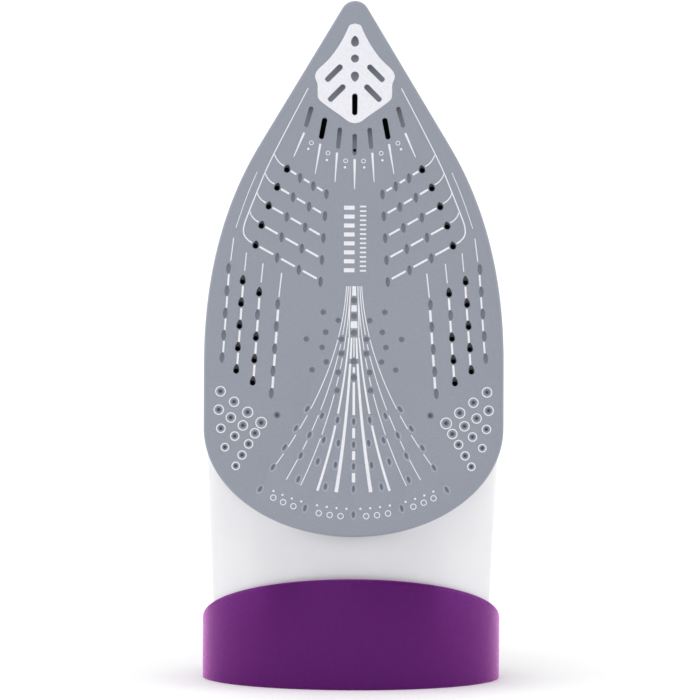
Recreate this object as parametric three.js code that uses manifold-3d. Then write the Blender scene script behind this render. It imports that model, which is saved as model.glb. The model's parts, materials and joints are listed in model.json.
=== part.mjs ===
// A steam clothes iron, standing on its heel: millimetres, +Z up, soleplate facing -Y.
//
// The iron's own parts are made in an inner group that leans back with the soleplate:
//   x  across the iron,
//   y  height above the working face of the soleplate, towards the handle,
//   z  along the sole, from its round rear edge (0) to its tip (SOLE.length).
// The heel cap that it stands on is made upright, in the outer group.
import * as THREE from "three";
import { mergeVertices } from "three/addons/utils/BufferGeometryUtils.js";
import Module from "manifold-3d";

// ---------------------------------------------------------------- driving dimensions

const LEAN = THREE.MathUtils.degToRad(8); // the sole leans back by this much when the iron stands
const SOLE_AT = { y: -44, z: 64.3 }; // where the rear edge of the working face is, in the outer frame
const GAP = 0.3; // clearance between separate pieces that touch on the real iron

const SOLE = {
  length: 222,
  halfWidth: 62,
  thickness: 4,
  bevel: 1.2,
  tipRadius: 6,
  flankAngle: Math.atan(0.6), // of the straight flanks, from the centre line
  flankEnds: 162, // z where the straight flank turns into the curved side
  sideBegins: 72, // z where the side is parallel to the centre line
  rearDepth: 45, // length of the half ellipse at the rear
};

const HEEL = {
  halfWidth: 61.9,
  halfDepth: 42,
  frontHeight: 47.1,
  slope: THREE.MathUtils.degToRad(25.5), // the upper edge falls towards the back
  handleSlope: THREE.MathUtils.degToRad(22.2), // the handle's foot ends on a flatter plane, clear of that edge
  floor: 5,
  screwX: 30,
};

const BODY = {
  shieldTop: 14, // top of the heat shield that rings the heater
  overhang: 1.8, // the sole stands out past the body by this much
  halfWidth: 60.2,
  widest: { rear: 47, front: 28 }, // height of the widest line
  bottom: 8.4,
  top: { rear: 85, front: 76 },
  noseEnd: 218,
  noseHeight: 14.5,
  noseSlope: 0.953,
  wall: 2.5,
};

const TANK = { from: 28, to: 206, partingRear: 46, partingSlope: -0.155, wall: 2.2 };

const DECK = { top: 80, from: 14, to: 150, rearHalfWidth: 25, frontHalfWidth: 17 };

const DIAL = { z: 78, radius: 23, height: 9 };
const STEAM = { z: 122, radius: 11, height: 10 };
const SPINDLE_RADIUS = 2.5;
const NEEDLE_RADIUS = 1.6;
const CLEAN_BUTTON = { x: 17, z: 106, radius: 4.5, bottom: 78.2, top: 83.4 };

const HANDLE_WALL = 2.4;
// Stations of the handle's loop: z, y, half width, half thickness.
const HANDLE_LOOP = [
  [-32, 60, 42, 17],
  [-24, 88, 32, 17],
  [-6, 114, 23, 16],
  [30, 133, 19.5, 14.5],
  [75, 139, 18, 14],
  [120, 137, 19, 14.5],
  [150, 126, 21, 16],
  [160, 100, 19, 15.5],
  [157, 74, 18, 15.5],
  [152, 48, 17, 14],
];

const PUMP = { x: 8.2, z: 157, radius: 5.5, bore: 4.2, bottom: 82, top: 105 };
const GLAND = { at: 0.262, depth: 4.4, ball: 9, cordHole: 3.9, hole: 15 };
const FILLER = { z: 186, halfWidth: 12.5, halfLength: 10.5, rim: 3, lid: 2.2, seat: 0.4, gasket: 1 };

// ---------------------------------------------------------------- materials

const finish = (color, roughness, metalness = 0) =>
  new THREE.MeshStandardMaterial({ color, roughness, metalness });

const MATERIAL = {
  coating: finish(0x989fad, 0.35),
  white: finish(0xeeeeef, 0.3),
  purple: finish(0x6a2479, 0.2),
  tank: new THREE.MeshStandardMaterial({
    color: 0x8c4a9c,
    roughness: 0.08,
    transparent: true,
    opacity: 0.45,
  }),
  grip: finish(0x6d7079, 0.7),
  aluminium: finish(0xb8bbbf, 0.45, 1),
  steel: finish(0xc9cbce, 0.3, 1),
  brass: finish(0xc9a15a, 0.35, 1),
  phenolic: finish(0x2b2a2a, 0.6),
  silicone: finish(0xd9d4c9, 0.6),
  lamp: finish(0xd8542a, 0.15),
  wire: finish(0x9a5b2c, 0.6),
};

// ---------------------------------------------------------------- solids

const wasm = await Module();
wasm.setup();

// A closed geometry as a manifold solid, with its faces turned out.
function solid(geometry) {
  const flat = geometry.index ? geometry.toNonIndexed() : geometry.clone();
  const bare = new THREE.BufferGeometry().setAttribute("position", flat.getAttribute("position"));
  const merged = mergeVertices(bare, 1e-4);
  const at = merged.attributes.position;
  const triVerts = new Uint32Array(merged.index.array);
  const [a, b, c] = [new THREE.Vector3(), new THREE.Vector3(), new THREE.Vector3()];
  let volume = 0;
  for (let i = 0; i < triVerts.length; i += 3) {
    a.fromBufferAttribute(at, triVerts[i]);
    b.fromBufferAttribute(at, triVerts[i + 1]);
    c.fromBufferAttribute(at, triVerts[i + 2]);
    volume += a.dot(b.cross(c));
  }
  if (volume < 0) {
    for (let i = 0; i < triVerts.length; i += 3) {
      [triVerts[i + 1], triVerts[i + 2]] = [triVerts[i + 2], triVerts[i + 1]];
    }
  }
  return new wasm.Manifold(
    new wasm.Mesh({ numProp: 3, vertProperties: at.array, triVerts }),
  );
}

// A manifold solid as a geometry for a mesh.
function geometryOf(made) {
  const mesh = made.getMesh();
  const points = new Float32Array(mesh.numVert * 3);
  for (let i = 0; i < mesh.numVert; i++) {
    points.set(mesh.vertProperties.subarray(i * mesh.numProp, i * mesh.numProp + 3), i * 3);
  }
  return new THREE.BufferGeometry()
    .setAttribute("position", new THREE.BufferAttribute(points, 3))
    .setIndex(new THREE.BufferAttribute(mesh.triVerts, 1));
}

// Triangles that close a section of count points: a fan from its first point, or for the section of a
// half shell, with its outer arc followed by its inner arc in reverse, a strip between the two arcs.
function fanCap(count) {
  const faces = [];
  for (let i = 1; i + 1 < count; i++) faces.push([i + 1, i, 0]);
  return faces;
}

function stripCap(count) {
  const faces = [];
  for (let i = 0; i < count / 2 - 1; i++) {
    faces.push([i + 1, i, count - 1 - i], [i + 1, count - 1 - i, count - 2 - i]);
  }
  return faces;
}

// A skin over sections that are lists of the same number of points, with both ends closed.
function loft(sections, cap = fanCap) {
  const count = sections[0].length;
  const faces = [];
  for (let s = 0; s + 1 < sections.length; s++) {
    for (let i = 0; i < count; i++) {
      const [a, b] = [s * count + i, s * count + ((i + 1) % count)];
      faces.push([a, b, b + count], [a, b + count, a + count]);
    }
  }
  const last = (sections.length - 1) * count;
  for (const [a, b, c] of cap(count)) {
    faces.push([a, b, c], [last + c, last + b, last + a]);
  }
  const at = new Float32Array(sections.flat().flatMap((p) => [p.x, p.y, p.z]));
  return solid(
    new THREE.BufferGeometry()
      .setAttribute("position", new THREE.BufferAttribute(at, 3))
      .setIndex(faces.flat()),
  );
}

// A plan outline in (x, z), given a thickness from y = low to y = high.
function slab(shape, low, high, options = {}) {
  const geometry = new THREE.ExtrudeGeometry(shape, {
    depth: high - low,
    bevelEnabled: false,
    curveSegments: 8,
    ...options,
  });
  return solid(geometry.rotateX(Math.PI / 2).translate(0, high, 0));
}

// A side outline in (z, y), given a thickness across the iron from -half to +half.
function sidePrism(outline, half) {
  const shape = new THREE.Shape(outline.map(([z, y]) => new THREE.Vector2(z, y)));
  const geometry = new THREE.ExtrudeGeometry(shape, { depth: 2 * half, bevelEnabled: false });
  return solid(geometry.translate(0, 0, -half).rotateY(-Math.PI / 2));
}

// An upright cylinder about the y axis, from y = low to y = high.
function rod(radius, low, high, sides = 16, x = 0, z = 0, topRadius = radius) {
  const geometry = new THREE.CylinderGeometry(topRadius, radius, high - low, sides);
  return solid(geometry.translate(x, (low + high) / 2, z));
}

// A body of revolution about the y axis, from a closed profile of [radius, y] pairs.
function turned(profile, sides = 32) {
  const points = [...profile, profile[0]].map(([r, y]) => new THREE.Vector2(r, y));
  return solid(new THREE.LatheGeometry(points, sides));
}

function block(x0, x1, y0, y1, z0, z1) {
  const geometry = new THREE.BoxGeometry(x1 - x0, y1 - y0, z1 - z0);
  return solid(geometry.translate((x0 + x1) / 2, (y0 + y1) / 2, (z0 + z1) / 2));
}

function roundedRectangle(halfX, halfZ, radius, x = 0, z = 0) {
  const shape = new THREE.Shape();
  shape.absarc(x + halfX - radius, z + halfZ - radius, radius, 0, Math.PI / 2);
  shape.absarc(x - halfX + radius, z + halfZ - radius, radius, Math.PI / 2, Math.PI);
  shape.absarc(x - halfX + radius, z - halfZ + radius, radius, Math.PI, 1.5 * Math.PI);
  shape.absarc(x + halfX - radius, z - halfZ + radius, radius, 1.5 * Math.PI, 2 * Math.PI);
  return shape;
}

// A round tube of the given radius along a curve through the given [x, y, z] points.
function tube(points, radius, sides = 8, steps = 12) {
  const path = new THREE.CatmullRomCurve3(points.map((p) => new THREE.Vector3(...p)));
  const ring = new THREE.Shape();
  ring.absarc(0, 0, radius, 0, 2 * Math.PI);
  const geometry = new THREE.ExtrudeGeometry(ring, {
    extrudePath: path,
    steps,
    curveSegments: sides / 2,
    bevelEnabled: false,
  });
  return solid(geometry);
}

// A coil spring about the y axis.
function coil(radius, wire, low, high, turns, stepsPerTurn = 8) {
  class Helix extends THREE.Curve {
    getPoint(t, target = new THREE.Vector3()) {
      const turn = 2 * Math.PI * turns * t;
      return target.set(
        radius * Math.cos(turn),
        low + (high - low) * t,
        radius * Math.sin(turn),
      );
    }
  }
  const ring = new THREE.Shape();
  ring.absarc(0, 0, wire, 0, 2 * Math.PI);
  const geometry = new THREE.ExtrudeGeometry(ring, {
    extrudePath: new Helix(),
    steps: turns * stepsPerTurn,
    curveSegments: 2,
    bevelEnabled: false,
  });
  return solid(geometry);
}

// A machine screw about the y axis: head from y = 0 down, shank below it, slot across the head.
function screw(headRadius, headHeight, shankRadius, length) {
  const head = rod(headRadius, -headHeight, 0, 12, 0, 0, headRadius * 0.85);
  const shank = rod(shankRadius, -length, -headHeight + 0.01, 6);
  const slot = block(-headRadius, headRadius, -headHeight * 0.5, 1, -0.4, 0.4);
  return head.add(shank).subtract(slot);
}

// ---------------------------------------------------------------- the iron's outline

// Outline of the sole in (x, z), moved inwards by inset.
function soleOutline(inset = 0, tipRadius = Math.max(SOLE.tipRadius - inset, 1.5)) {
  const { length, halfWidth, flankAngle, flankEnds, sideBegins, rearDepth } = SOLE;
  const [sin, cos] = [Math.sin(flankAngle), Math.cos(flankAngle)];
  const apex = length - SOLE.tipRadius + SOLE.tipRadius / sin - inset / sin;
  const tipCentre = apex - tipRadius / sin;
  const fullApex = apex + inset / sin;
  const flank = new THREE.Vector2(
    (fullApex - flankEnds) * Math.tan(flankAngle) - inset * cos,
    flankEnds - inset * sin,
  );
  const side = halfWidth - inset;
  const shape = new THREE.Shape();
  shape.moveTo(side, rearDepth);
  shape.lineTo(side, sideBegins);
  shape.bezierCurveTo(
    side,
    sideBegins + 35,
    flank.x + 25 * Math.tan(flankAngle),
    flank.y - 25,
    flank.x,
    flank.y,
  );
  shape.absarc(0, tipCentre, tipRadius, flankAngle, Math.PI - flankAngle);
  shape.lineTo(-flank.x, flank.y);
  shape.bezierCurveTo(
    -flank.x - 25 * Math.tan(flankAngle),
    flank.y - 25,
    -side,
    sideBegins + 35,
    -side,
    sideBegins,
  );
  shape.lineTo(-side, rearDepth);
  shape.absellipse(0, rearDepth, side, rearDepth - inset, Math.PI, 2 * Math.PI);
  return shape;
}

// Half width of the sole at z, leaving out the round rear edge.
const flankPoints = soleOutline()
  .getPoints(24)
  .filter((p) => p.x >= 0 && p.y >= SOLE.sideBegins);
function flankHalfWidth(z) {
  if (z <= SOLE.sideBegins) return SOLE.halfWidth;
  const i = flankPoints.findIndex((p) => p.y >= z);
  if (i < 1) return 0;
  const [a, b] = [flankPoints[i - 1], flankPoints[i]];
  return THREE.MathUtils.lerp(a.x, b.x, (z - a.y) / (b.y - a.y));
}

// ---------------------------------------------------------------- the body's shape

const ease = (from, to, z, low, high) =>
  THREE.MathUtils.lerp(from, to, THREE.MathUtils.smoothstep(z, low, high));

// The lower of two heights, with a rounded corner where they cross.
function softMin(a, b, radius) {
  const h = Math.max(radius - Math.abs(a - b), 0) / radius;
  return Math.min(a, b) - (h * h * radius) / 4;
}

function bodyHalfWidth(z) {
  const rear = BODY.halfWidth + 0.045 * Math.min(z - 33, 0);
  return Math.min(rear, flankHalfWidth(z) - BODY.overhang);
}

function bodyTop(z) {
  const flat = ease(BODY.top.rear, BODY.top.front, z, -30, 20);
  const nose = BODY.noseHeight + (BODY.noseEnd - 4 - z) * BODY.noseSlope;
  return softMin(flat, nose, 14);
}

const bodyBottom = (z) => BODY.bottom + 0.12 * Math.max(-15 - z, 0);

const superEllipse = (cos, power) => Math.sign(cos) * Math.abs(cos) ** (2 / power);

// Section across the body at z, grown outwards by grow.
function bodySection(z, grow, count) {
  const halfWidth = bodyHalfWidth(z) + grow;
  const [top, bottom] = [bodyTop(z) + grow, bodyBottom(z) - grow];
  const wanted = ease(BODY.widest.rear, BODY.widest.front, z, 0, 70);
  const widest = Math.min(wanted, bottom + 0.45 * (top - bottom));
  const [upper, lower] = [ease(2.1, 2.6, z, 0, 50), ease(2.1, 9, z, 0, 50)];
  const section = [];
  for (let i = 0; i < count; i++) {
    const angle = (2 * Math.PI * i) / count;
    const [cos, sin] = [Math.cos(angle), Math.sin(angle)];
    const power = sin > 0 ? upper : lower;
    const height = sin > 0 ? top - widest : widest - bottom;
    const x = halfWidth * superEllipse(cos, power);
    section.push(new THREE.Vector3(x, widest + height * superEllipse(sin, power), z));
  }
  return section;
}

const BODY_STATIONS = [-62, -40, -18, 4, 20, 38, 56, 78, 104, 128, 142, 154, 172, 190, 204, 212];

function bodySolid(grow = 0, count = 24) {
  const inner = BODY_STATIONS.filter((z) => z < BODY.noseEnd + grow - 2);
  return loft([...inner, BODY.noseEnd + grow].map((z) => bodySection(z, grow, count)));
}

// Side outline of the space that the tank takes, moved inwards by inset.
function tankSpace(inset) {
  const { from, to, partingRear, partingSlope } = TANK;
  const floor = (z) => partingRear + partingSlope * (z - from) + inset;
  return sidePrism(
    [
      [from + inset, floor(from)],
      [to - inset, floor(to)],
      [to - inset, 120],
      [from + inset, 120],
    ],
    80,
  );
}

// ---------------------------------------------------------------- the handle's shape

const loopCurve = (pick) =>
  new THREE.CatmullRomCurve3(
    HANDLE_LOOP.map((s) => new THREE.Vector3(...pick(s))),
    false,
    "catmullrom",
    0.5,
  );
const spine = loopCurve(([z, y]) => [0, y, z]);
const girth = loopCurve(([, , width, thickness]) => [width, thickness, 0]);

// The handle's centre, outward normal and sizes at t, from 0 (heel end) to 1 (front foot).
function handleStation(t) {
  const centre = spine.getPoint(t);
  const ahead = spine.getPoint(Math.min(t + 1e-3, 1));
  const behind = spine.getPoint(Math.max(t - 1e-3, 0));
  const along = ahead.sub(behind).normalize();
  const out = new THREE.Vector3(0, along.z, -along.y);
  const size = girth.getPoint(t);
  return { centre, out, halfWidth: size.x, halfThickness: size.y };
}

// Part of the handle's tube. arc picks the angles of its section: all round, or the outer or inner half.
function handleSolid({ grow = 0, wall = 0, half = 0, steps = 17, count = 16, from = 0, to = 1 }) {
  const sections = [];
  for (let s = 0; s <= steps; s++) {
    const { centre, out, halfWidth, halfThickness } = handleStation(from + ((to - from) * s) / steps);
    const point = (angle, inset) => {
      const across = (halfWidth + grow - inset) * superEllipse(Math.cos(angle), 2.4);
      const outwards = (halfThickness + grow - inset) * superEllipse(Math.sin(angle), 2.4);
      return new THREE.Vector3(across, 0, 0)
        .add(centre)
        .addScaledVector(out, outwards + (half * GAP) / 2);
    };
    const section = [];
    if (half === 0) {
      for (let i = 0; i < count; i++) section.push(point((2 * Math.PI * i) / count, 0));
    } else {
      const arc = count / 2;
      for (let i = 0; i <= arc; i++) section.push(point((half * Math.PI * i) / arc, 0));
      for (let i = arc; i >= 0; i--) section.push(point((half * Math.PI * i) / arc, wall));
    }
    sections.push(section);
  }
  return loft(sections, half === 0 ? fanCap : stripCap);
}

// ---------------------------------------------------------------- groups

const iron = new THREE.Group(); // leans back with the sole
iron.rotation.x = -LEAN;
iron.position.set(0, SOLE_AT.y, SOLE_AT.z);
const clothesIron = new THREE.Group();
clothesIron.add(iron);

function add(name, made, material, parent = iron) {
  const mesh = new THREE.Mesh(geometryOf(made), material);
  mesh.name = name;
  parent.add(mesh);
  return mesh;
}

// A solid made in the outer frame, carried into the leaning group.
iron.updateMatrixWorld(true);
const toIron = iron.matrixWorld.clone().invert();
const inIron = (made) => solid(geometryOf(made).applyMatrix4(toIron));
const inOuter = (made) => solid(geometryOf(made).applyMatrix4(iron.matrixWorld));

// ---------------------------------------------------------------- soleplate and heater

// Steam outlets: [x, z, radius] of the round ones, for one side.
function steamOutlets() {
  const outlets = [];
  const radius = 1.25;
  for (let i = 0; i < 5; i++) {
    const x = 28.2 + 4.15 * i - 0.25 * i * i;
    outlets.push([x, SOLE.length - (69.9 + 7.4 * i + 0.125 * i * i), radius]);
    outlets.push([46.1 + 0.6 * i, SOLE.length - (116.1 + 9.22 * i), radius]);
    if (i !== 1) outlets.push([39 + 0.6 * i, SOLE.length - (120.7 + 9.25 * i), radius]);
  }
  return outlets;
}

// Long steam outlets: [x, z, lean from the centre line].
const STEAM_SLOTS = [
  [0, SOLE.length - 42.5, 0],
  [13.1, SOLE.length - 52.6, THREE.MathUtils.degToRad(10.6)],
  [-13.1, SOLE.length - 52.6, -THREE.MathUtils.degToRad(10.6)],
];

function soleplate() {
  const face = soleOutline(SOLE.bevel);
  let plate = slab(face, SOLE.bevel, SOLE.thickness - 0.01, {
    bevelEnabled: true,
    bevelThickness: SOLE.bevel,
    bevelSize: SOLE.bevel,
    bevelSegments: 1,
    curveSegments: 10,
  });
  plate = plate.intersect(block(-80, 80, 0, SOLE.thickness, -10, 240));
  const drills = steamOutlets().flatMap(([x, z, r]) => [
    rod(r, -1, SOLE.thickness + 1, 6, x, z),
    rod(r, -1, SOLE.thickness + 1, 6, -x, z),
  ]);
  for (const [x, z, lean] of STEAM_SLOTS) {
    const slot = slab(roundedRectangle(1.05, 4.3, 1), -1, SOLE.thickness + 1, { curveSegments: 2 });
    drills.push(slot.rotate([0, THREE.MathUtils.radToDeg(-lean), 0]).translate([x, 0, z]));
  }
  return plate.subtract(wasm.Manifold.union(drills));
}

const CASTING_TOP = 17;
const ELEMENT = { inset: 16.5, radius: 4.1, y: 12.4, tip: 9, rear: 45 };
const CHAMBER_REAR = 93;

function heaterCasting() {
  const low = SOLE.thickness + GAP;
  const raw = slab(soleOutline(6.5), low, CASTING_TOP, { curveSegments: 8 });
  const reach = ELEMENT.radius + 0.9;
  const groove = slab(soleOutline(ELEMENT.inset - reach, ELEMENT.tip + reach), 8, 30, {
    curveSegments: 8,
  })
    .subtract(
      slab(soleOutline(ELEMENT.inset + reach, ELEMENT.tip - reach), 7, 31, { curveSegments: 8 }),
    )
    .subtract(block(-80, 80, 0, 40, -10, ELEMENT.rear - 2));
  const chamber = slab(soleOutline(24), 7.5, 30, { curveSegments: 8 }).subtract(
    block(-80, 80, 0, 40, -10, CHAMBER_REAR),
  );
  const screwHoles = [-1, 1].map((side) => rod(2, 10, 30, 8, side * 20, 14));
  const lowNose = block(-80, 80, 13.8, 40, 194, 240);
  return raw
    .subtract(groove)
    .subtract(chamber)
    .subtract(lowNose)
    .subtract(wasm.Manifold.union(screwHoles));
}

function heatingElement() {
  const side = SOLE.halfWidth - ELEMENT.inset;
  const bend = soleOutline(ELEMENT.inset, ELEMENT.tip)
    .getPoints(6)
    .filter((p) => p.y > SOLE.sideBegins + 8);
  const run = [new THREE.Vector2(side, ELEMENT.rear), new THREE.Vector2(side, SOLE.sideBegins)]
    .concat(bend)
    .concat([new THREE.Vector2(-side, SOLE.sideBegins), new THREE.Vector2(-side, ELEMENT.rear)]);
  return tube(run.map((p) => [p.x, ELEMENT.y, p.y]), ELEMENT.radius, 8, 40);
}

function soleAssembly() {
  add("soleplate", soleplate(), MATERIAL.coating);
  add("heater_casting", heaterCasting(), MATERIAL.aluminium);
  add("heating_element", heatingElement(), MATERIAL.steel);
  for (const [name, side] of [["right", 1], ["left", -1]]) {
    const [x, z] = [side * (SOLE.halfWidth - ELEMENT.inset), ELEMENT.rear + 3];
    const pin = rod(1.5, ELEMENT.y + ELEMENT.radius + GAP, 30, 8, x, z);
    add(`${name}_element_terminal`, pin, MATERIAL.steel);
  }

  const cover = slab(soleOutline(21.8), CASTING_TOP + GAP, 18.5, { curveSegments: 6 })
    .subtract(block(-80, 80, 0, 40, -10, CHAMBER_REAR - 2.5))
    .subtract(rod(1.1, 10, 30, 8, 0, STEAM.z))
    .subtract(rod(2.6, 10, 30, 8, -PUMP.x, PUMP.z));
  add("steam_chamber_cover", cover, MATERIAL.steel);

  const seat = turned(
    [
      [NEEDLE_RADIUS + 0.8, 18.8],
      [7, 18.8],
      [7, 25],
      [5.5, 27.6],
      [NEEDLE_RADIUS + 0.8, 27.6],
    ],
    16,
  ).translate([0, 0, STEAM.z]);
  add("steam_valve_seat", seat, MATERIAL.silicone);

  const shield = slab(soleOutline(2.2), SOLE.thickness + GAP, BODY.shieldTop, { curveSegments: 7 })
    .subtract(slab(soleOutline(4.8), 0, 30, { curveSegments: 7 }));
  add("heat_shield", shield, MATERIAL.white);

  const strap = block(-32, 32, CASTING_TOP + GAP, 18.6, 9, 19).subtract(
    wasm.Manifold.union([rod(2.1, 10, 30, 8, 20, 14), rod(2.1, 10, 30, 8, -20, 14)]),
  );
  add("rear_mounting_strap", strap, MATERIAL.steel);
  [1, -1].forEach((side) => {
    const name = side > 0 ? "right_strap_screw" : "left_strap_screw";
    add(name, screw(3.6, 2, 1.6, 9).translate([side * 20, 20.9, 14]), MATERIAL.steel);
  });
}

function thermostat() {
  const low = CASTING_TOP + GAP;
  const body = block(-11, 11, low, 29, 65, 90)
    .add(rod(6, 28.5, 32, 16, 0, DIAL.z))
    .subtract(rod(SPINDLE_RADIUS + GAP, 22, 40, 12, 0, DIAL.z));
  add("thermostat_body", body, MATERIAL.phenolic);
  const spindle = rod(SPINDLE_RADIUS, 24, 84.5, 12, 0, DIAL.z);
  add("thermostat_spindle", spindle, MATERIAL.brass);
  const fuse = rod(2.2, -8, 8, 10).rotate([0, 0, 90]).translate([0, low + 2.3, 48]);
  add("thermal_fuse", fuse, MATERIAL.brass);
}

// ---------------------------------------------------------------- housing, tank and deck

function mainHousing() {
  const floorCut = inIron(block(-90, 90, -90, 140, -80, HEEL.floor + GAP));
  const innerFloorCut = inIron(block(-90, 90, -90, 140, -80, HEEL.floor + GAP + 3));
  const hollow = bodySolid(-BODY.wall, 16).subtract(innerFloorCut);
  const noseBlock = sidePrism([[TANK.to - 4, 0], [240, 0], [240, 60], [TANK.to - 4, 60]], 60);
  const heaterSpace = slab(soleOutline(1.9), -1, BODY.shieldTop + GAP, { curveSegments: 7 });
  const heaterOpening = slab(soleOutline(5.2), 0, 24, { curveSegments: 8 }).subtract(
    block(-60, 60, BODY.shieldTop + GAP, 60, 196, 240),
  );
  const throat = handleSolid({ grow: -HANDLE_WALL - 1, from: 0.02, to: 0.25, steps: 6, count: 16 });
  const [screwHole, screwBoss] = [[], []];
  for (const side of [-1, 1]) {
    const at = [side * HEEL.screwX, 0, 0];
    const upright = (radius, low, high) => rod(radius, low, high, 10).rotate([90, 0, 0]).translate(at);
    screwBoss.push(inIron(upright(4.5, HEEL.floor + GAP, 17)));
    screwHole.push(inIron(upright(1.9, 0, 15.5)));
  }
  return bodySolid()
    .subtract(floorCut)
    .subtract(tankSpace(0))
    .subtract(hollow.subtract(noseBlock))
    .subtract(heaterSpace)
    .subtract(heaterOpening)
    .subtract(throat)
    .add(wasm.Manifold.union(screwBoss))
    .subtract(wasm.Manifold.union(screwHole));
}

const fillerAngle = Math.atan(BODY.noseSlope);

// Carries a solid made flat around the origin onto the sloping nose, over the filler mouth.
function onNose(made) {
  return made
    .rotate([THREE.MathUtils.radToDeg(fillerAngle), 0, 0])
    .translate([0, bodyTop(FILLER.z), FILLER.z]);
}

const LID_BOTTOM = FILLER.seat + GAP + FILLER.gasket + GAP;
const HINGE = { z: FILLER.halfLength + 2.6, y: 2.6, radius: 2, pin: 0.8 };
const fillerMouth = (grow) =>
  roundedRectangle(FILLER.halfWidth - FILLER.rim + grow, FILLER.halfLength - FILLER.rim + grow, 3);

function waterTank() {
  const outer = bodySolid().intersect(tankSpace(GAP));
  const inner = bodySolid(-TANK.wall, 16).intersect(tankSpace(TANK.wall + GAP));
  const well = (radius, z) => rod(radius, 0, 120, 14, 0, z).intersect(outer);
  const filler = roundedRectangle(FILLER.halfWidth, FILLER.halfLength, 4);
  const boss = onNose(slab(filler, -5, FILLER.seat, { curveSegments: 4 }));
  const ears = [-1, 1].map((side) =>
    onNose(
      rod(HINGE.radius, -1.2, 1.2, 12)
        .rotate([0, 0, 90])
        .translate([side * 8.6, HINGE.y, HINGE.z])
        .add(block(side * 8.6 - 1.2, side * 8.6 + 1.2, -4, HINGE.y, HINGE.z - 2, HINGE.z + 2)),
    ),
  );
  const pinHole = onNose(
    rod(HINGE.pin + GAP, -20, 20, 10).rotate([0, 0, 90]).translate([0, HINGE.y, HINGE.z]),
  );
  const pipeHoles = [-PUMP.x, PUMP.x].map((x) => rod(2.6, 60, 90, 10, x, PUMP.z));
  return outer
    .subtract(inner)
    .add(well(5, DIAL.z))
    .add(well(4, STEAM.z))
    .add(boss)
    .add(wasm.Manifold.union(ears))
    .subtract(onNose(slab(fillerMouth(0), -12, 5, { curveSegments: 4 })))
    .subtract(pinHole)
    .subtract(wasm.Manifold.union(pipeHoles))
    .subtract(rod(2.6, 0, 40, 10, -PUMP.x, PUMP.z))
    .subtract(rod(SPINDLE_RADIUS + 0.6, 0, 120, 12, 0, DIAL.z))
    .subtract(rod(NEEDLE_RADIUS + 0.6, 0, 120, 12, 0, STEAM.z));
}

function fillerLid() {
  const { halfWidth, halfLength, lid, seat, gasket } = FILLER;
  const top = LID_BOTTOM + lid;
  const axle = (radius, half) =>
    rod(radius, -half, half, 12).rotate([0, 0, 90]).translate([0, HINGE.y, HINGE.z]);
  const plate = slab(roundedRectangle(halfWidth, halfLength, 4), LID_BOTTOM, top, { curveSegments: 4 });
  const bridge = block(-6.8, 6.8, LID_BOTTOM + 0.2, top, halfLength - 1, HINGE.z);
  const lip = block(-6, 6, LID_BOTTOM + 0.6, top, -halfLength - 2, -halfLength + 1);
  const cover = plate.add(bridge).add(axle(HINGE.radius, 6.8)).add(lip).subtract(axle(HINGE.pin + GAP, 20));
  add("filler_lid", onNose(cover), MATERIAL.purple);
  add("filler_hinge_pin", onNose(axle(HINGE.pin, 9.6)), MATERIAL.steel);

  const low = seat + GAP;
  const ring = slab(fillerMouth(1.8), low, low + gasket, { curveSegments: 4 }).subtract(
    slab(fillerMouth(0.2), low - 1, low + gasket + 1, { curveSegments: 4 }),
  );
  add("filler_seal", onNose(ring), MATERIAL.silicone);
}

function deckCover() {
  const { top, from, to, rearHalfWidth, frontHalfWidth } = DECK;
  const shape = new THREE.Shape();
  shape.moveTo(rearHalfWidth, from + 12);
  shape.bezierCurveTo(rearHalfWidth, from + 60, frontHalfWidth + 4, to - 50, frontHalfWidth, to - 8);
  shape.lineTo(frontHalfWidth - 8, to);
  shape.lineTo(-frontHalfWidth + 8, to);
  shape.lineTo(-frontHalfWidth, to - 8);
  shape.bezierCurveTo(-frontHalfWidth - 4, to - 50, -rearHalfWidth, from + 60, -rearHalfWidth, from + 12);
  shape.lineTo(-rearHalfWidth + 12, from);
  shape.lineTo(rearHalfWidth - 12, from);
  const bevel = { bevelEnabled: true, bevelThickness: 2, bevelSize: 2, bevelOffset: -2, bevelSegments: 1 };
  return slab(shape, 62, top - 2, { curveSegments: 8, ...bevel })
    .subtract(bodySolid(GAP))
    .subtract(handleSolid({ grow: GAP }))
    .subtract(rod(SPINDLE_RADIUS + 0.6, 0, 120, 12, 0, DIAL.z))
    .subtract(rod(NEEDLE_RADIUS + 0.6, 0, 120, 12, 0, STEAM.z))
    .subtract(rod(CLEAN_BUTTON.radius + GAP, 0, 120, 14, CLEAN_BUTTON.x, CLEAN_BUTTON.z));
}

// ---------------------------------------------------------------- controls on the deck

function dials() {
  const low = DECK.top + GAP;
  const { radius, height } = DIAL;
  const dial = turned(
    [
      [0, low + 5],
      [SPINDLE_RADIUS + GAP, low + 5],
      [SPINDLE_RADIUS + GAP, low],
      [radius, low],
      [radius, low + height - 2],
      [radius - 2, low + height],
      [radius - 8, low + height - 1.5],
      [0, low + height - 1.5],
    ],
    32,
  ).add(block(-1, 1, low + height - 2, low + height, radius - 9, radius - 3));
  add("temperature_dial", dial.translate([0, 0, DIAL.z]), MATERIAL.white);

  const knob = rod(STEAM.radius, low, low + 4, 24);
  const bar = slab(roundedRectangle(2.6, STEAM.radius - 1.5, 1.2), low + 3.5, low + STEAM.height, {
    curveSegments: 3,
  });
  const bore = rod(NEEDLE_RADIUS + GAP, low - 1, low + 7, 10);
  add("steam_dial", knob.add(bar).subtract(bore).translate([0, 0, STEAM.z]), MATERIAL.purple);

  const needle = rod(NEEDLE_RADIUS, 21, low + 3, 10).add(rod(0.5, 19.2, 21.01, 10, 0, 0, NEEDLE_RADIUS));
  add("steam_valve_needle", needle.translate([0, 0, STEAM.z]), MATERIAL.steel);

  const { x, z, radius: buttonRadius, bottom, top } = CLEAN_BUTTON;
  const button = rod(buttonRadius, bottom, top, 14, x, z);
  add("self_clean_button", button, MATERIAL.purple);
}

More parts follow.
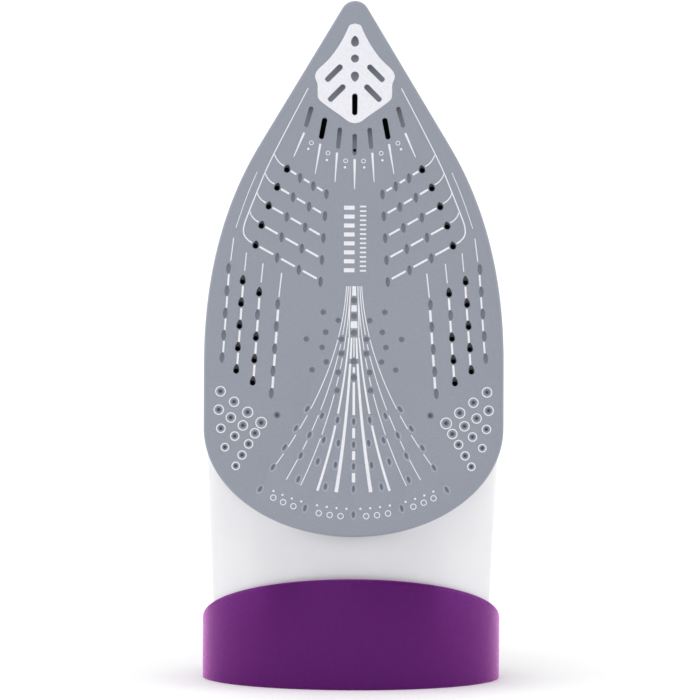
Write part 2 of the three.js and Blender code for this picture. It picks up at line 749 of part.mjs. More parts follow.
// ---------------------------------------------------------------- handle

// Everything under a plane that falls from the heel cap's front edge, in the outer frame, raised by grow.
function heelSpace(slope, grow) {
  const under = new THREE.BoxGeometry(200, 300, 100)
    .translate(0, 0, grow - 50)
    .rotateX(-slope)
    .translate(0, -HEEL.halfDepth, HEEL.frontHeight);
  return solid(under);
}

// Turns a solid about y = up so that it points along the outward normal at t, and moves it onto the handle's skin.
function onHandle(made, t, depth = 0) {
  const { centre, out, halfThickness } = handleStation(t);
  const skin = centre.clone().addScaledVector(out, halfThickness - depth);
  const turn = THREE.MathUtils.radToDeg(Math.atan2(out.z, out.y));
  return made.rotate([turn, 0, 0]).translate([skin.x, skin.y, skin.z]);
}

// Carries a solid made about the y axis onto the cord gland's axis, with the ball's centre at the origin.
const onGland = (made) => onHandle(made, GLAND.at, GLAND.depth);

const REAR_COVER_AT = 0.13;
const NOZZLE_AT = 0.8;
const LAMP_AT = 0.345;

const buttonShape = (side, grow) => roundedRectangle(6 + grow, 8.5 + grow, 3, side * PUMP.x, PUMP.z - 3);
const gripShape = (grow) => roundedRectangle(12.5 + grow, 37 + grow, 9, 0, 80);
const rearCoverShape = (grow) => roundedRectangle(17 + grow, 13 + grow, 5);

function handle() {
  const below = bodySolid(GAP).add(inIron(heelSpace(HEEL.handleSlope, GAP)));
  const outerHalf = handleSolid({ wall: HANDLE_WALL, half: 1 }).subtract(below);
  const innerHalf = handleSolid({ wall: HANDLE_WALL, half: -1 }).subtract(below);
  const glandHole = onGland(rod(GLAND.hole, -10, 14, 20));
  const gripHole = slab(gripShape(GAP), 140, 170);
  const gripFill = slab(gripShape(0), 140, 170);
  const rearHole = onHandle(slab(rearCoverShape(GAP), -12, 14, { curveSegments: 4 }), REAR_COVER_AT);
  const rearFill = onHandle(slab(rearCoverShape(0), -12, 14, { curveSegments: 4 }), REAR_COVER_AT);
  const coverScrewHole = onHandle(
    rod(1.9, -20, 20, 10).add(rod(3.9, -1.6, 10, 14)),
    REAR_COVER_AT,
  );
  const nozzleHole = onHandle(rod(5.8, -10, 10, 18), NOZZLE_AT);
  const lampHole = onHandle(rod(3.3, -10, 10, 14), LAMP_AT);
  const buttonHoles = [1, -1].map((side) => slab(buttonShape(side, GAP), 124, 170, { curveSegments: 4 }));

  const upper = outerHalf
    .subtract(glandHole)
    .subtract(gripHole)
    .subtract(rearHole)
    .subtract(nozzleHole)
    .subtract(lampHole)
    .subtract(wasm.Manifold.union(buttonHoles));
  add("handle_upper_shell", upper, MATERIAL.white);
  add("handle_lower_shell", innerHalf.subtract(glandHole), MATERIAL.grip);
  add("grip_pad", outerHalf.intersect(gripFill), MATERIAL.grip);
  add("rear_cover", outerHalf.intersect(rearFill).subtract(coverScrewHole), MATERIAL.purple);

  const coverScrew = screw(3.5, 1.2, 1.5, 10).translate([0, -0.2, 0]);
  add("rear_cover_screw", onHandle(coverScrew, REAR_COVER_AT), MATERIAL.steel);

  const bezel = turned([[3.4, -2], [5.5, -2], [5.5, 0.6], [4.6, 1.4], [3.4, 1.4]], 18);
  add("spray_nozzle_bezel", onHandle(bezel, NOZZLE_AT), MATERIAL.purple);
  const nozzle = rod(3, -7, 1, 14).add(rod(3, 0.99, 2.6, 14, 0, 0, 1.6)).subtract(rod(0.6, -8, 4, 8));
  add("spray_nozzle", onHandle(nozzle, NOZZLE_AT), MATERIAL.white);

  const lens = turned([[0, -2.4], [3, -2.4], [3, 0.2], [2, 0.9], [0, 1.1]], 14);
  add("indicator_lens", onHandle(lens, LAMP_AT), MATERIAL.lamp);
  add("neon_lamp", onHandle(rod(2.2, -11, -2.8, 10), LAMP_AT), MATERIAL.lamp);
}

function pumps() {
  const skin = handleSolid({ grow: 1.3 });
  for (const [name, side, material] of [
    ["spray", 1, MATERIAL.purple],
    ["steam_boost", -1, MATERIAL.purple],
  ]) {
    const at = [side * PUMP.x, 0, PUMP.z];
    const cap = slab(buttonShape(side, 0), 128, 170, { curveSegments: 4 }).intersect(skin);
    add(`${name}_button`, cap, material);

    const plunger = rod(1.8, 90, 128 - GAP, 8).add(rod(PUMP.bore - GAP, 96, 100, 12));
    add(`${name}_plunger`, plunger.translate(at), MATERIAL.steel);

    const cylinder = rod(PUMP.radius, PUMP.bottom, PUMP.top, 14)
      .subtract(rod(PUMP.bore, PUMP.bottom + 2, PUMP.top + 1, 12));
    add(`${name}_pump_cylinder`, cylinder.translate(at), MATERIAL.phenolic);

    const spring = coil(3.4, 0.45, PUMP.top + 1, 126.6, 5).translate(at);
    add(`${name}_return_spring`, spring, MATERIAL.steel);
  }

  const [x, z] = [PUMP.x, PUMP.z];
  const hose = [[x, 86, z + 6], [x - 1, 86, z + 9], [3, 88, z + 10], [0, 92, z + 10]];
  add("spray_hose", tube(hose, 1.4), MATERIAL.silicone);
  add("steam_boost_pipe", rod(1.9, 18.8, PUMP.bottom - GAP, 8, -x, z), MATERIAL.silicone);
  add("water_pickup_pipe", rod(1.9, 31, PUMP.bottom - GAP, 8, x, z), MATERIAL.silicone);
}

function cordGland() {
  const { ball, cordHole } = GLAND;
  const race = ball + GAP;
  const arc = (low, high, steps) =>
    Array.from({ length: steps + 1 }, (_, i) => {
      const y = THREE.MathUtils.lerp(high, low, i / steps);
      return [Math.sqrt(race * race - y * y), y];
    });
  const bezel = turned([[12.3, -2.6], [13.5, -2.6], [14.6, 2.6], [14.6, 4], [13.6, 5], [12.3, 5]], 20);
  add("cord_gland_bezel", onGland(bezel), MATERIAL.purple);
  const ring = turned([[13.2, -5], [13.2, -3], [12, -3], [12, 5.2], [10.6, 5.8], ...arc(-5, 4.2, 4)], 20);
  add("cord_swivel_ring", onGland(ring), MATERIAL.grip);

  const sphere = solid(new THREE.SphereGeometry(ball, 16, 10));
  const sleeve = rod(cordHole + 1.8, 0, ball + 3.5, 16);
  const hole = rod(cordHole, -20, 20, 12);
  add("cord_swivel_ball", onGland(sphere.add(sleeve).subtract(hole)), MATERIAL.grip);
}

// ---------------------------------------------------------------- wiring

function wiring() {
  add("terminal_block", block(-15, 15, 62, 74, -32, -22), MATERIAL.phenolic);
  const clampAt = 0.2;
  add("cord_clamp", onHandle(block(-9, 9, -17, -14, -3, 3), clampAt), MATERIAL.phenolic);
  for (const [name, side] of [["right", 1], ["left", -1]]) {
    const made = screw(2.2, 1.4, 1.2, 8).translate([side * 12.2, -12, 0]);
    add(`${name}_clamp_screw`, onHandle(made, clampAt), MATERIAL.steel);
  }
  const lead = (name, points) => add(name, tube(points, 1.1, 6), MATERIAL.wire);
  lead("live_lead", [[5, 60.8, -27], [6, 50, -20], [8, 40, 10], [8, 36, 40], [6, 34.2, 60], [5, 30.6, 68]]);
  lead("neutral_lead", [[-10, 60.8, -27], [-18, 50, -14], [-36, 38, 14], [-45.5, 36, 38], [-45.5, 31.4, 48]]);
  lead("heater_lead", [[12.2, 26, 76], [20, 30, 72], [34, 35, 58], [42, 35, 50], [45.5, 31.4, 48]]);
}

// ---------------------------------------------------------------- heel

function heelCap() {
  const { halfWidth, halfDepth, floor, screwX } = HEEL;
  const ellipse = new THREE.Shape();
  ellipse.absellipse(0, 0, halfWidth, halfDepth, 0, 2 * Math.PI);
  const prism = new THREE.ExtrudeGeometry(ellipse, {
    depth: 60,
    bevelEnabled: false,
    curveSegments: 24,
  });
  const floorSlab = new THREE.BoxGeometry(200, 200, 100).translate(0, 0, 50 + floor);
  const pocket = inOuter(bodySolid(GAP)).intersect(solid(floorSlab));
  let cap = solid(prism).intersect(heelSpace(HEEL.slope, 0)).subtract(pocket);
  for (const side of [-1, 1]) {
    const upright = (radius, low, high) =>
      rod(radius, low, high, 14).rotate([90, 0, 0]).translate([side * screwX, 0, 0]);
    cap = cap.subtract(upright(4.2, -1, 2.6)).subtract(upright(1.9, -1, 10));
    const name = side > 0 ? "right_heel_screw" : "left_heel_screw";
    const made = screw(3.8, 1.7, 1.6, 13).rotate([-90, 0, 0]).translate([side * screwX, 0, 0.6]);
    add(name, made, MATERIAL.steel, clothesIron);
  }
  add("heel_cap", cap, MATERIAL.purple, clothesIron);
}

// ---------------------------------------------------------------- assembly

soleAssembly();
thermostat();
add("main_housing", mainHousing(), MATERIAL.white);
add("water_tank", waterTank(), MATERIAL.tank);
fillerLid();
add("deck_cover", deckCover(), MATERIAL.white);
dials();
handle();
pumps();
cordGland();
wiring();
heelCap();

export default clothesIron;
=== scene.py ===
"""The looks of a steam clothes iron that stands on its heel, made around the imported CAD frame.

Shapes are made in millimetres in the object's frame (+Z up, the sole facing -Y) and turned to metres when
a piece is done. Most are drawn in the iron's own frame, which leans back with the sole:
x across, y height above the sole's working face, z along the sole from its rear edge to its tip.
"""

import json
import math
from collections import namedtuple

import bmesh
import bpy
from mathutils import Matrix, Vector
from mathutils.bvhtree import BVHTree
from mathutils.geometry import delaunay_2d_cdt


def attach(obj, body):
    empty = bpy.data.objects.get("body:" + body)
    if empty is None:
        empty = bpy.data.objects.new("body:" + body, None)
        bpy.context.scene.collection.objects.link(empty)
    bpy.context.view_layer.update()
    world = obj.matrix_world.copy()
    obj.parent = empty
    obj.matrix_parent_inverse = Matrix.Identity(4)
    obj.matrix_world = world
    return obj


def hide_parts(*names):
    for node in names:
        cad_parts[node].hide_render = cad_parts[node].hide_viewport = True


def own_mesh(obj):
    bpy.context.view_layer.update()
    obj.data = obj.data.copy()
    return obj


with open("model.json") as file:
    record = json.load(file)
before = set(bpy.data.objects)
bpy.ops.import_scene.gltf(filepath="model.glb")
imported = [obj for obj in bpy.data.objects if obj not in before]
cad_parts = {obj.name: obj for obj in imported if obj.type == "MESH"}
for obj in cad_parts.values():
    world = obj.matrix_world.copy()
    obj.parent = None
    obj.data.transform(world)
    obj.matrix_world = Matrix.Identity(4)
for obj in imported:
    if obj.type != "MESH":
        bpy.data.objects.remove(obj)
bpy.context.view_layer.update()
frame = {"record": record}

record = frame["record"]
BODY_OF = {node: body for body, nodes in record["behaviour"]["bodies"].items() for node in nodes}
SLOT_OF = {part["node"]: part["material_slot"] for part in record["subparts"]}

# ---- driving dimensions, in millimetres

METRES = Matrix.Scale(0.001, 4)
LEAN = math.radians(8)
LEANING = Matrix.Translation((0, -44, 64.3)) @ Matrix.Rotation(-LEAN, 4, "X")
UPRIGHT = Matrix.Identity(4)
GAP = 0.3

SOLE_LENGTH = 222
SOLE_HALF_WIDTH = 62
SOLE_THICKNESS = 4
SOLE_BEVEL = 1.2
SOLE_BACK_EDGE = 0.4
TIP_RADIUS = 6
FLANK_ANGLE = math.atan(0.6)
FLANK_ENDS = 162
SIDE_BEGINS = 72
REAR_DEPTH = 45

HEEL_HALF_WIDTH = 61.9
HEEL_HALF_DEPTH = 42
HEEL_FRONT = 47.1
HEEL_SLOPE = math.radians(25.5)
HANDLE_SLOPE = math.radians(22.2)
HEEL_FLOOR = 5
HEEL_SCREW_X = 30

OVERHANG = 1.8
BODY_HALF_WIDTH = 60.2
BODY_FROM = -62
NOSE_END = 218
NOSE_SLOPE = 0.953
WALL = 2.5

TANK_FROM = 28
TANK_TO = 206
TANK_WALL = 2.2
TANK_FLOOR = 46
TANK_FLOOR_SLOPE = 0.155

DECK_TOP = 80
DIAL_Z = 78
DIAL_RADIUS = 23
STEAM_Z = 122
STEAM_RADIUS = 11
SPINDLE_RADIUS = 2.5
NEEDLE_RADIUS = 1.6
CLEAN_X = 17
CLEAN_Z = 106

HANDLE_WALL = 2.4
# Stations of the handle's loop: z, y, half width, half thickness.
HANDLE_LOOP = [
    (-32, 60, 42, 17),
    (-24, 88, 32, 17),
    (-6, 114, 23, 16),
    (30, 133, 19.5, 14.5),
    (75, 139, 18, 14),
    (120, 137, 19, 14.5),
    (150, 126, 21, 16),
    (160, 100, 19, 15.5),
    (157, 74, 18, 15.5),
    (152, 48, 17, 14),
]
REAR_COVER_AT = 0.13
GLAND_AT = 0.262
GLAND_DEPTH = 4.4
LAMP_AT = 0.345
NOZZLE_AT = 0.8
PUMP_X = 8.2
PUMP_Z = 157

FILLER_Z = 186
FILLER_HALF_WIDTH = 12.5
FILLER_HALF_LENGTH = 10.5
FILLER_SEAT = 0.4
LID_BOTTOM = 2.0
LID_TOP = 4.2
HINGE_Z = 13.1
HINGE_Y = 2.6
HINGE_RADIUS = 2

# ---- materials


def srgb(red, green, blue):
    """A linear colour from 0 to 255 display values."""

    def linear(value):
        share = value / 255
        return share / 12.92 if share <= 0.04045 else ((share + 0.055) / 1.055) ** 2.4

    return (linear(red), linear(green), linear(blue), 1.0)


class Finish:
    """A Principled material with procedural detail, in object coordinates in metres."""

    def __init__(self, name, **sockets):
        self.material = bpy.data.materials.new(name)
        self.material.use_nodes = True
        self.nodes = self.material.node_tree.nodes
        self.shader = self.nodes["Principled BSDF"]
        self.place = self.node("TexCoord").outputs["Object"]
        self.plug(self.shader, sockets)

    def plug(self, node, sockets):
        """Sets each input of a node to a value, or links it to another node's output."""
        for name, value in sockets.items():
            socket = node.inputs[name.replace("_", " ")]
            if isinstance(value, bpy.types.NodeSocket):
                self.material.node_tree.links.new(value, socket)
            else:
                socket.default_value = value

    def node(self, kind, **sockets):
        made = self.nodes.new(f"ShaderNode{kind}")
        self.plug(made, sockets)
        return made

    def noise(self, scale, detail=3, stretch=(1, 1, 1)):
        stretched = self.node("Mapping", Vector=self.place, Scale=stretch).outputs["Vector"]
        return self.node("TexNoise", Vector=stretched, Scale=scale, Detail=detail).outputs["Fac"]

    def ramp(self, source, *stops):
        """The colour that source picks between stops of (position, colour)."""
        node = self.node("ValToRGB", Fac=source)
        elements = node.color_ramp.elements
        while len(elements) < len(stops):
            elements.new(0.5)
        for element, (position, colour) in zip(elements, stops):
            element.position = position
            element.color = colour
        return node.outputs["Color"]

    def multiply(self, one, other):
        node = self.node("Mix")
        node.data_type = "RGBA"
        node.blend_type = "MULTIPLY"
        self.plug(node, {"Factor": 1, "A": one, "B": other})
        return node.outputs["Result"]

    def colour(self, output):
        self.plug(self.shader, {"Base_Color": output})

    def roughness(self, source, low, high):
        limits = {"From_Min": 0.3, "From_Max": 0.7, "To_Min": low, "To_Max": high}
        spread = self.node("MapRange", Value=source, **limits)
        self.plug(self.shader, {"Roughness": spread.outputs["Result"]})

    def bump(self, source, strength, distance):
        relief = self.node("Bump", Strength=strength, Distance=distance, Height=source)
        self.plug(self.shader, {"Normal": relief.outputs["Normal"]})


def tint(colour, factor):
    return tuple(channel * factor for channel in colour[:3]) + (1.0,)


# Values of the recess attribute: less than PLAIN is a painted highlight on a rim, and more is painted shade
# in a recess.
PLAIN = 0.2
BLACK = 0.9


def sole_coating():
    """Satin ceramic coating with a fine fleck; the recess attribute paints shade into dimples and steam
    outlets, and a painted highlight onto some of their rims.
    """
    finish = Finish("sole_coating", Specular_IOR_Level=0.3)
    grey = srgb(167, 173, 186)
    flecks = (0.3, tint(grey, 0.93)), (0.5, grey), (0.72, tint(grey, 1.08))
    fleck = finish.ramp(finish.noise(2600, 2), *flecks)
    cloud = finish.ramp(finish.noise(22, 2), (0.3, (0.965, 0.965, 0.965, 1)), (0.7, (1, 1, 1, 1)))
    recess = finish.node("Attribute")
    recess.attribute_name = "recess"
    # painted shade and painted highlight: this ramp darkens the colour in recesses, down to near black in
    # the outlets, and lightens it on rims below PLAIN
    depth = finish.ramp(
        recess.outputs["Fac"],
        (0, (1, 1, 1, 1)),
        (PLAIN, (0.7, 0.7, 0.7, 1)),
        (0.6, (0.37, 0.37, 0.38, 1)),
        (0.75, (0.16, 0.16, 0.17, 1)),
        (BLACK, (0.01, 0.01, 0.011, 1)),
    )
    finish.colour(finish.multiply(finish.multiply(fleck, cloud), depth))
    finish.roughness(finish.noise(160, 3), 0.34, 0.46)
    finish.bump(finish.noise(1900, 2), 0.12, 0.00004)
    return finish.material


def finished(name, tone, stops, gloss, rough, grain=None, relief=None, **sockets):
    """A material whose colour, gloss and relief each follow a noise of (scale, detail, stretch)."""
    finish = Finish(name, **sockets)
    finish.colour(finish.ramp(finish.noise(*tone), *stops))
    finish.roughness(finish.noise(*gloss), *rough)
    if grain:
        finish.bump(finish.noise(*grain), *relief)
    return finish.material


def between(low, high):
    """Stops from one display colour to another."""
    return (0.3, srgb(*low)), (0.7, srgb(*high))


def plastic(name, colour, low, high, grain=900, depth=0.00003, **sockets):
    """Moulded plastic: faint flow marks in its colour, uneven gloss, and a fine grain."""
    flow = 35, 3, (1, 1, 0.35)
    stops = (0.3, tint(colour, 0.965)), (0.7, tint(colour, 1.02))
    return finished(name, flow, stops, (260, 3), (low, high), (grain, 2), (0.12, depth), **sockets)


def grip_rubber():
    """Matt soft-touch rubber with a pebbled grain and lighter worn spots."""
    finish = Finish("grip_rubber", Sheen_Weight=0.15, Sheen_Roughness=0.5)
    colour = srgb(96, 99, 108)
    stops = (0.3, tint(colour, 0.85)), (0.6, colour), (0.8, tint(colour, 1.15))
    finish.colour(finish.ramp(finish.noise(45, 4), *stops))
    finish.roughness(finish.noise(90, 3), 0.58, 0.75)
    cells = finish.node("TexVoronoi", Vector=finish.place, Scale=1300).outputs["Distance"]
    finish.bump(cells, 0.45, 0.00012)
    return finish.material


def metal(name, colour, low, high, scale, stretch, relief):
    """Metal with streaks or cast grain, by the stretch of its noise."""
    stops = (0.3, tint(colour, 0.82)), (0.55, colour), (0.8, tint(colour, 1.1))
    gloss, grain = (scale * 0.6, 4, stretch), (scale * 1.5, 3, stretch)
    relief = relief, 0.00008
    tone = scale, 4, stretch
    return finished(name, tone, stops, gloss, (low, high), grain, relief, Metallic=1.0)


def lead_sleeve():
    """Glass-fibre sleeve with wavy strands."""
    finish = Finish("lead_sleeve", Sheen_Weight=0.2)
    strands = finish.node("TexWave", Vector=finish.place, Scale=900, Distortion=1.5).outputs["Fac"]
    stops = (0.25, srgb(112, 66, 34)), (0.6, srgb(160, 104, 58)), (0.9, srgb(188, 140, 92))
    finish.colour(finish.ramp(strands, *stops))
    finish.roughness(finish.noise(700, 3), 0.6, 0.8)
    finish.bump(strands, 0.5, 0.0001)
    return finish.material


MATERIALS = {
    "sole_coating": sole_coating(),
    "cast_aluminium": metal("cast_aluminium", srgb(178, 180, 184), 0.42, 0.6, 500, (1, 1, 1), 0.4),
    "steel": metal("steel", srgb(200, 202, 206), 0.22, 0.36, 300, (6, 1, 1), 0.12),
    "brass": metal("brass", srgb(206, 166, 96), 0.26, 0.4, 300, (1, 1, 5), 0.12),
    "white_plastic": plastic("white_plastic", srgb(219, 219, 222), 0.28, 0.34),
    "purple_plastic": plastic(
        "purple_plastic",
        srgb(78, 16, 93),
        0.24,
        0.3,
        Metallic=0.4,
        Specular_IOR_Level=0.15,
        Sheen_Weight=0.8,
        Sheen_Roughness=0.5,
        Sheen_Tint=(0.95, 0.17, 0.88, 1),
    ),
    "tank_plastic": finished(
        "tank_plastic",
        (30, 2),
        between((176, 120, 190), (188, 134, 202)),
        (60, 3),
        (0.05, 0.11),
        (260, 2),
        (0.08, 0.00005),
        Transmission_Weight=0.82,
        IOR=1.49,
    ),
    "grip_rubber": grip_rubber(),
    "phenolic": plastic("phenolic", srgb(42, 40, 40), 0.45, 0.62, grain=700, depth=0.00006),
    "silicone": finished(
        "silicone",
        (120, 3),
        between((205, 200, 190), (222, 218, 208)),
        (150, 3),
        (0.45, 0.6),
        (1400, 2),
        (0.15, 0.00003),
        Subsurface_Weight=0.2,
        Subsurface_Scale=0.002,
    ),
    "amber_lens": finished(
        "amber_lens",
        (200, 2),
        between((224, 92, 40), (236, 120, 60)),
        (300, 2),
        (0.06, 0.14),
        (700, 2),
        (0.1, 0.00004),
        Transmission_Weight=0.7,
        IOR=1.5,
    ),
    "lead_sleeve": lead_sleeve(),
}
# White heat-proof ink, a little uneven.
PRINT = finished(
    "sole_print",
    (900, 3),
    between((222, 222, 228), (230, 230, 236)),
    (1200, 2),
    (0.4, 0.55),
    (2400, 2),
    (0.15, 0.00003),
    Specular_IOR_Level=0.3,
)
# The sooty wall of a steam outlet.
# Painted shade: a near-black finish on the walls of a steam outlet and on the discs behind it, where the
# hole is in shade.
HOLE_SHADE_STOPS = (0.3, (0.002, 0.002, 0.002, 1)), (0.7, (0.006, 0.006, 0.006, 1))
HOLE_SHADE = finished("steam_passage", (900, 2), HOLE_SHADE_STOPS, (500, 2), (0.9, 1), Specular_IOR_Level=0.05)

# ---- outlines


def ease(start, end, z, low, high):
    share = min(max((z - low) / (high - low), 0), 1)
    return start + (end - start) * share * share * (3 - 2 * share)


def soft_min(a, b, radius):
    """The lower of two heights, with a rounded corner where they cross."""
    share = max(radius - abs(a - b), 0) / radius
    return min(a, b) - share * share * radius / 4


def signed_power(value, power):
    return math.copysign(abs(value) ** power, value)


def super_ellipse(cosine, power):
    return signed_power(cosine, 2 / power)


def arc(x, z, radius_x, radius_z, start, end, steps):
    angles = [start + (end - start) * i / steps for i in range(steps + 1)]
    return [(x + radius_x * math.cos(a), z + radius_z * math.sin(a)) for a in angles]


def bezier(a, b, c, d, steps):
    """Points of a cubic curve, without its first one."""
    points = []
    for i in range(1, steps + 1):
        t = i / steps
        weights = ((1 - t) ** 3, 3 * t * (1 - t) ** 2, 3 * t * t * (1 - t), t**3)
        points.append(tuple(sum(w * p[k] for w, p in zip(weights, (a, b, c, d))) for k in (0, 1)))
    return points


def catmull(points, t):
    """The point at t, from 0 to 1, on a uniform Catmull-Rom curve."""
    along = (len(points) - 1) * t
    i = min(int(along), len(points) - 2)
    u = along - i
    a, b = Vector(points[i]), Vector(points[i + 1])
    before = Vector(points[i - 1]) if i > 0 else 2 * a - b
    after = Vector(points[i + 2]) if i + 2 < len(points) else 2 * b - a
    slope_a, slope_b = (b - before) / 2, (after - a) / 2
    square, cube = 3 * (b - a) - 2 * slope_a - slope_b, 2 * (a - b) + slope_a + slope_b
    return a + u * slope_a + u * u * square + u**3 * cube


def smooth(points, steps):
    """A finer line along a curve through the points."""
    count = (len(points) - 1) * steps
    return [tuple(catmull(points, i / count)) for i in range(count + 1)]


def signed_area(loop):
    return sum(a[0] * b[1] - b[0] * a[1] for a, b in zip(loop, loop[1:] + loop[:1])) / 2


def inset(loop, distance):
    """The loop moved inwards by distance."""
    turn = 1 if signed_area(loop) > 0 else -1
    moved = []
    for i, point in enumerate(loop):
        here = Vector(point)
        before = (here - Vector(loop[i - 1])).normalized()
        after = (Vector(loop[(i + 1) % len(loop)]) - here).normalized()
        normal = Vector((-before.y - after.y, before.x + after.x)) * turn
        normal.normalize()
        lean = max(normal.dot(Vector((-before.y, before.x)) * turn), 0.35)
        moved.append(tuple(here + normal * distance / lean))
    return moved


def rounded(corners, steps=4):
    """A closed outline from (a, b, radius) corners, or sharp (a, b) corners."""
    outline = []
    for i, corner in enumerate(corners):
        here = Vector(corner[:2])
        if len(corner) < 3:
            outline.append(tuple(here))
            continue
        back = Vector(corners[i - 1][:2]) - here
        ahead = Vector(corners[(i + 1) % len(corners)][:2]) - here
        reach = min(corner[2], back.length / 2.01, ahead.length / 2.01)
        start, end = here + back.normalized() * reach, here + ahead.normalized() * reach
        for k in range(steps + 1):
            t = k / steps
            outline.append(tuple(start * (1 - t) ** 2 + here * 2 * t * (1 - t) + end * t * t))
    return outline


def rounded_rectangle(half_x, half_z, radius, x=0, z=0, steps=8):
    outline = []
    for k, (sx, sz) in enumerate(((1, 1), (-1, 1), (-1, -1), (1, -1))):
        centre_x, centre_z = x + sx * (half_x - radius), z + sz * (half_z - radius)
        start = k * math.pi / 2
        outline += arc(centre_x, centre_z, radius, radius, start, start + math.pi / 2, steps)
    return outline


def circle(radius, x=0, z=0, steps=48):
    return arc(x, z, radius, radius, 0, 2 * math.pi, steps)[:-1]


def sole_outline(distance=0, tip_radius=None, steps=28):
    """Outline of the sole in (x, z), moved inwards by distance."""
    if tip_radius is None:
        tip_radius = max(TIP_RADIUS - distance, 1.5)
    sine, cosine = math.sin(FLANK_ANGLE), math.cos(FLANK_ANGLE)
    tangent = math.tan(FLANK_ANGLE)
    full_apex = SOLE_LENGTH - TIP_RADIUS + TIP_RADIUS / sine
    tip_centre = full_apex - (distance + tip_radius) / sine
    flank_x = (full_apex - FLANK_ENDS) * tangent - distance * cosine
    flank_z = FLANK_ENDS - distance * sine
    side = SOLE_HALF_WIDTH - distance
    right = [(side, REAR_DEPTH), (side, SIDE_BEGINS)]
    right += bezier(
        right[-1],
        (side, SIDE_BEGINS + 35),
        (flank_x + 25 * tangent, flank_z - 25),
        (flank_x, flank_z),
        steps,
    )
    tip = arc(0, tip_centre, tip_radius, tip_radius, FLANK_ANGLE, math.pi - FLANK_ANGLE, steps)
    left = [(-x, z) for x, z in reversed(right)]
    rear = arc(0, REAR_DEPTH, side, REAR_DEPTH - distance, math.pi, 2 * math.pi, 4 * steps)
    return right + tip + left + rear[1:-1]


FLANK = [point for point in sole_outline() if point[0] >= 0 and point[1] >= SIDE_BEGINS]


def flank_half_width(z):
    if z <= SIDE_BEGINS:
        return SOLE_HALF_WIDTH
    for (ax, az), (bx, bz) in zip(FLANK, FLANK[1:]):
        if bz >= z:
            return ax + (bx - ax) * (z - az) / (bz - az)
    return 0


def body_half_width(z):
    rear = BODY_HALF_WIDTH + 0.045 * min(z - 33, 0)
    return min(rear, flank_half_width(z) - OVERHANG)


def body_top(z):
    nose = 14.5 + (NOSE_END - 4 - z) * NOSE_SLOPE
    return soft_min(ease(85, 76, z, -30, 20), nose, 14)


def body_section(z, grow, count):
    """Section across the body at z, grown outwards by grow."""
    half_width = body_half_width(z) + grow
    top, bottom = body_top(z) + grow, 8.4 + 0.12 * max(-15 - z, 0) - grow
    widest = min(ease(47, 28, z, 0, 70), bottom + 0.45 * (top - bottom))
    upper, lower = ease(2.1, 2.6, z, 0, 50), ease(2.1, 9, z, 0, 50)
    section = []
    for i in range(count):
        cosine, sine = math.cos(2 * math.pi * i / count), math.sin(2 * math.pi * i / count)
        power, height = (upper, top - widest) if sine > 0 else (lower, widest - bottom)
        x = half_width * super_ellipse(cosine, power)
        section.append((x, widest + height * super_ellipse(sine, power), z))
    return section


def handle_station(t):
    """The handle's centre, outward normal, half width and half thickness at t."""
    step = 1e-3
    line = [(0, y, z) for z, y, _, _ in HANDLE_LOOP]
    centre, ahead, back = (catmull(line, share) for share in (t, min(t + step, 1), max(t - step, 0)))
    along = (ahead - back).normalized()
    size = catmull([(width, thickness) for _, _, width, thickness in HANDLE_LOOP], t)
    return centre, Vector((0, along.z, -along.y)), size.x, size.y


def at(x, y, z, place=LEANING):
    """A frame moved along its own axes."""
    return place @ Matrix.Translation((x, y, z))


def on_handle(t, depth=0):
    """Place on the handle's skin, with y along the outward normal."""
    centre, out, _, half_thickness = handle_station(t)
    turn = Matrix.Rotation(math.atan2(out.z, out.y), 4, "X")
    return LEANING @ Matrix.Translation(centre + out * (half_thickness - depth)) @ turn


NOSE = at(0, body_top(FILLER_Z), FILLER_Z) @ Matrix.Rotation(math.atan(NOSE_SLOPE), 4, "X")
GLAND = on_handle(GLAND_AT, GLAND_DEPTH)
HINGE = at(0, HINGE_Y, HINGE_Z, NOSE) @ Matrix.Rotation(math.pi / 2, 4, "Z")
SIDES = ("right", 1), ("left", -1)

# ---- solids


def loft(sections, ring=False):
    """Points and faces of a skin over sections with the same number of points, closed at both ends."""
    count = len(sections[0])
    points = [point for section in sections for point in section]
    faces = []
    for s in range(len(sections) - (0 if ring else 1)):
        for i in range(count):
            a, b = s * count + i, s * count + (i + 1) % count
            faces.append((a, b, (b + count) % len(points), (a + count) % len(points)))
    if not ring:
        faces.append(tuple(range(count))[::-1])
        faces.append(tuple(range(len(points) - count, len(points))))
    return points, faces


def solid(made, place=LEANING):
    """A closed mesh object in millimetres, from points and faces in the frame that place gives."""
    points, faces = made
    mesh = bpy.data.meshes.new("solid")
    mesh.from_pydata([place @ Vector(point) for point in points], [], faces)
    work = bmesh.new()
    work.from_mesh(mesh)
    bmesh.ops.remove_doubles(work, verts=work.verts, dist=1e-3)
    bmesh.ops.recalc_face_normals(work, faces=work.faces)
    work.to_mesh(mesh)
    work.free()
    obj = bpy.data.objects.new("solid", mesh)
    bpy.context.scene.collection.objects.link(obj)
    return obj


def settle(obj):
    """Applies the object's modifiers to its mesh."""
    evaluated = obj.evaluated_get(bpy.context.evaluated_depsgraph_get())
    mesh = bpy.data.meshes.new_from_object(evaluated)
    obj.modifiers.clear()
    obj.data = mesh
    return obj


def combine(target, tools, operation):
    for tool in tools:
        modifier = target.modifiers.new("combine", "BOOLEAN")
        modifier.operation = operation
        modifier.solver = "MANIFOLD"
        modifier.object = tool
    settle(target)
    for tool in tools:
        bpy.data.objects.remove(tool)
    return target


def cut(target, *tools):
    return combine(target, tools, "DIFFERENCE")


def join(target, *tools):
    return combine(target, tools, "UNION")


def common(target, *tools):
    return combine(target, tools, "INTERSECT")


def levels(outline, steps):
    """Sections of a plan outline at steps of (inset, y)."""
    return [[(x, y, z) for x, z in (inset(outline, d) if d else outline)] for d, y in steps]


def quarter(edge, count):
    """Steps round a rounded edge: how far each is in from the side, and how far from the end."""
    turns = [math.pi / 2 * k / count for k in range(count + 1)]
    return [(edge * (1 - math.sin(a)), edge * (1 - math.cos(a))) for a in turns]


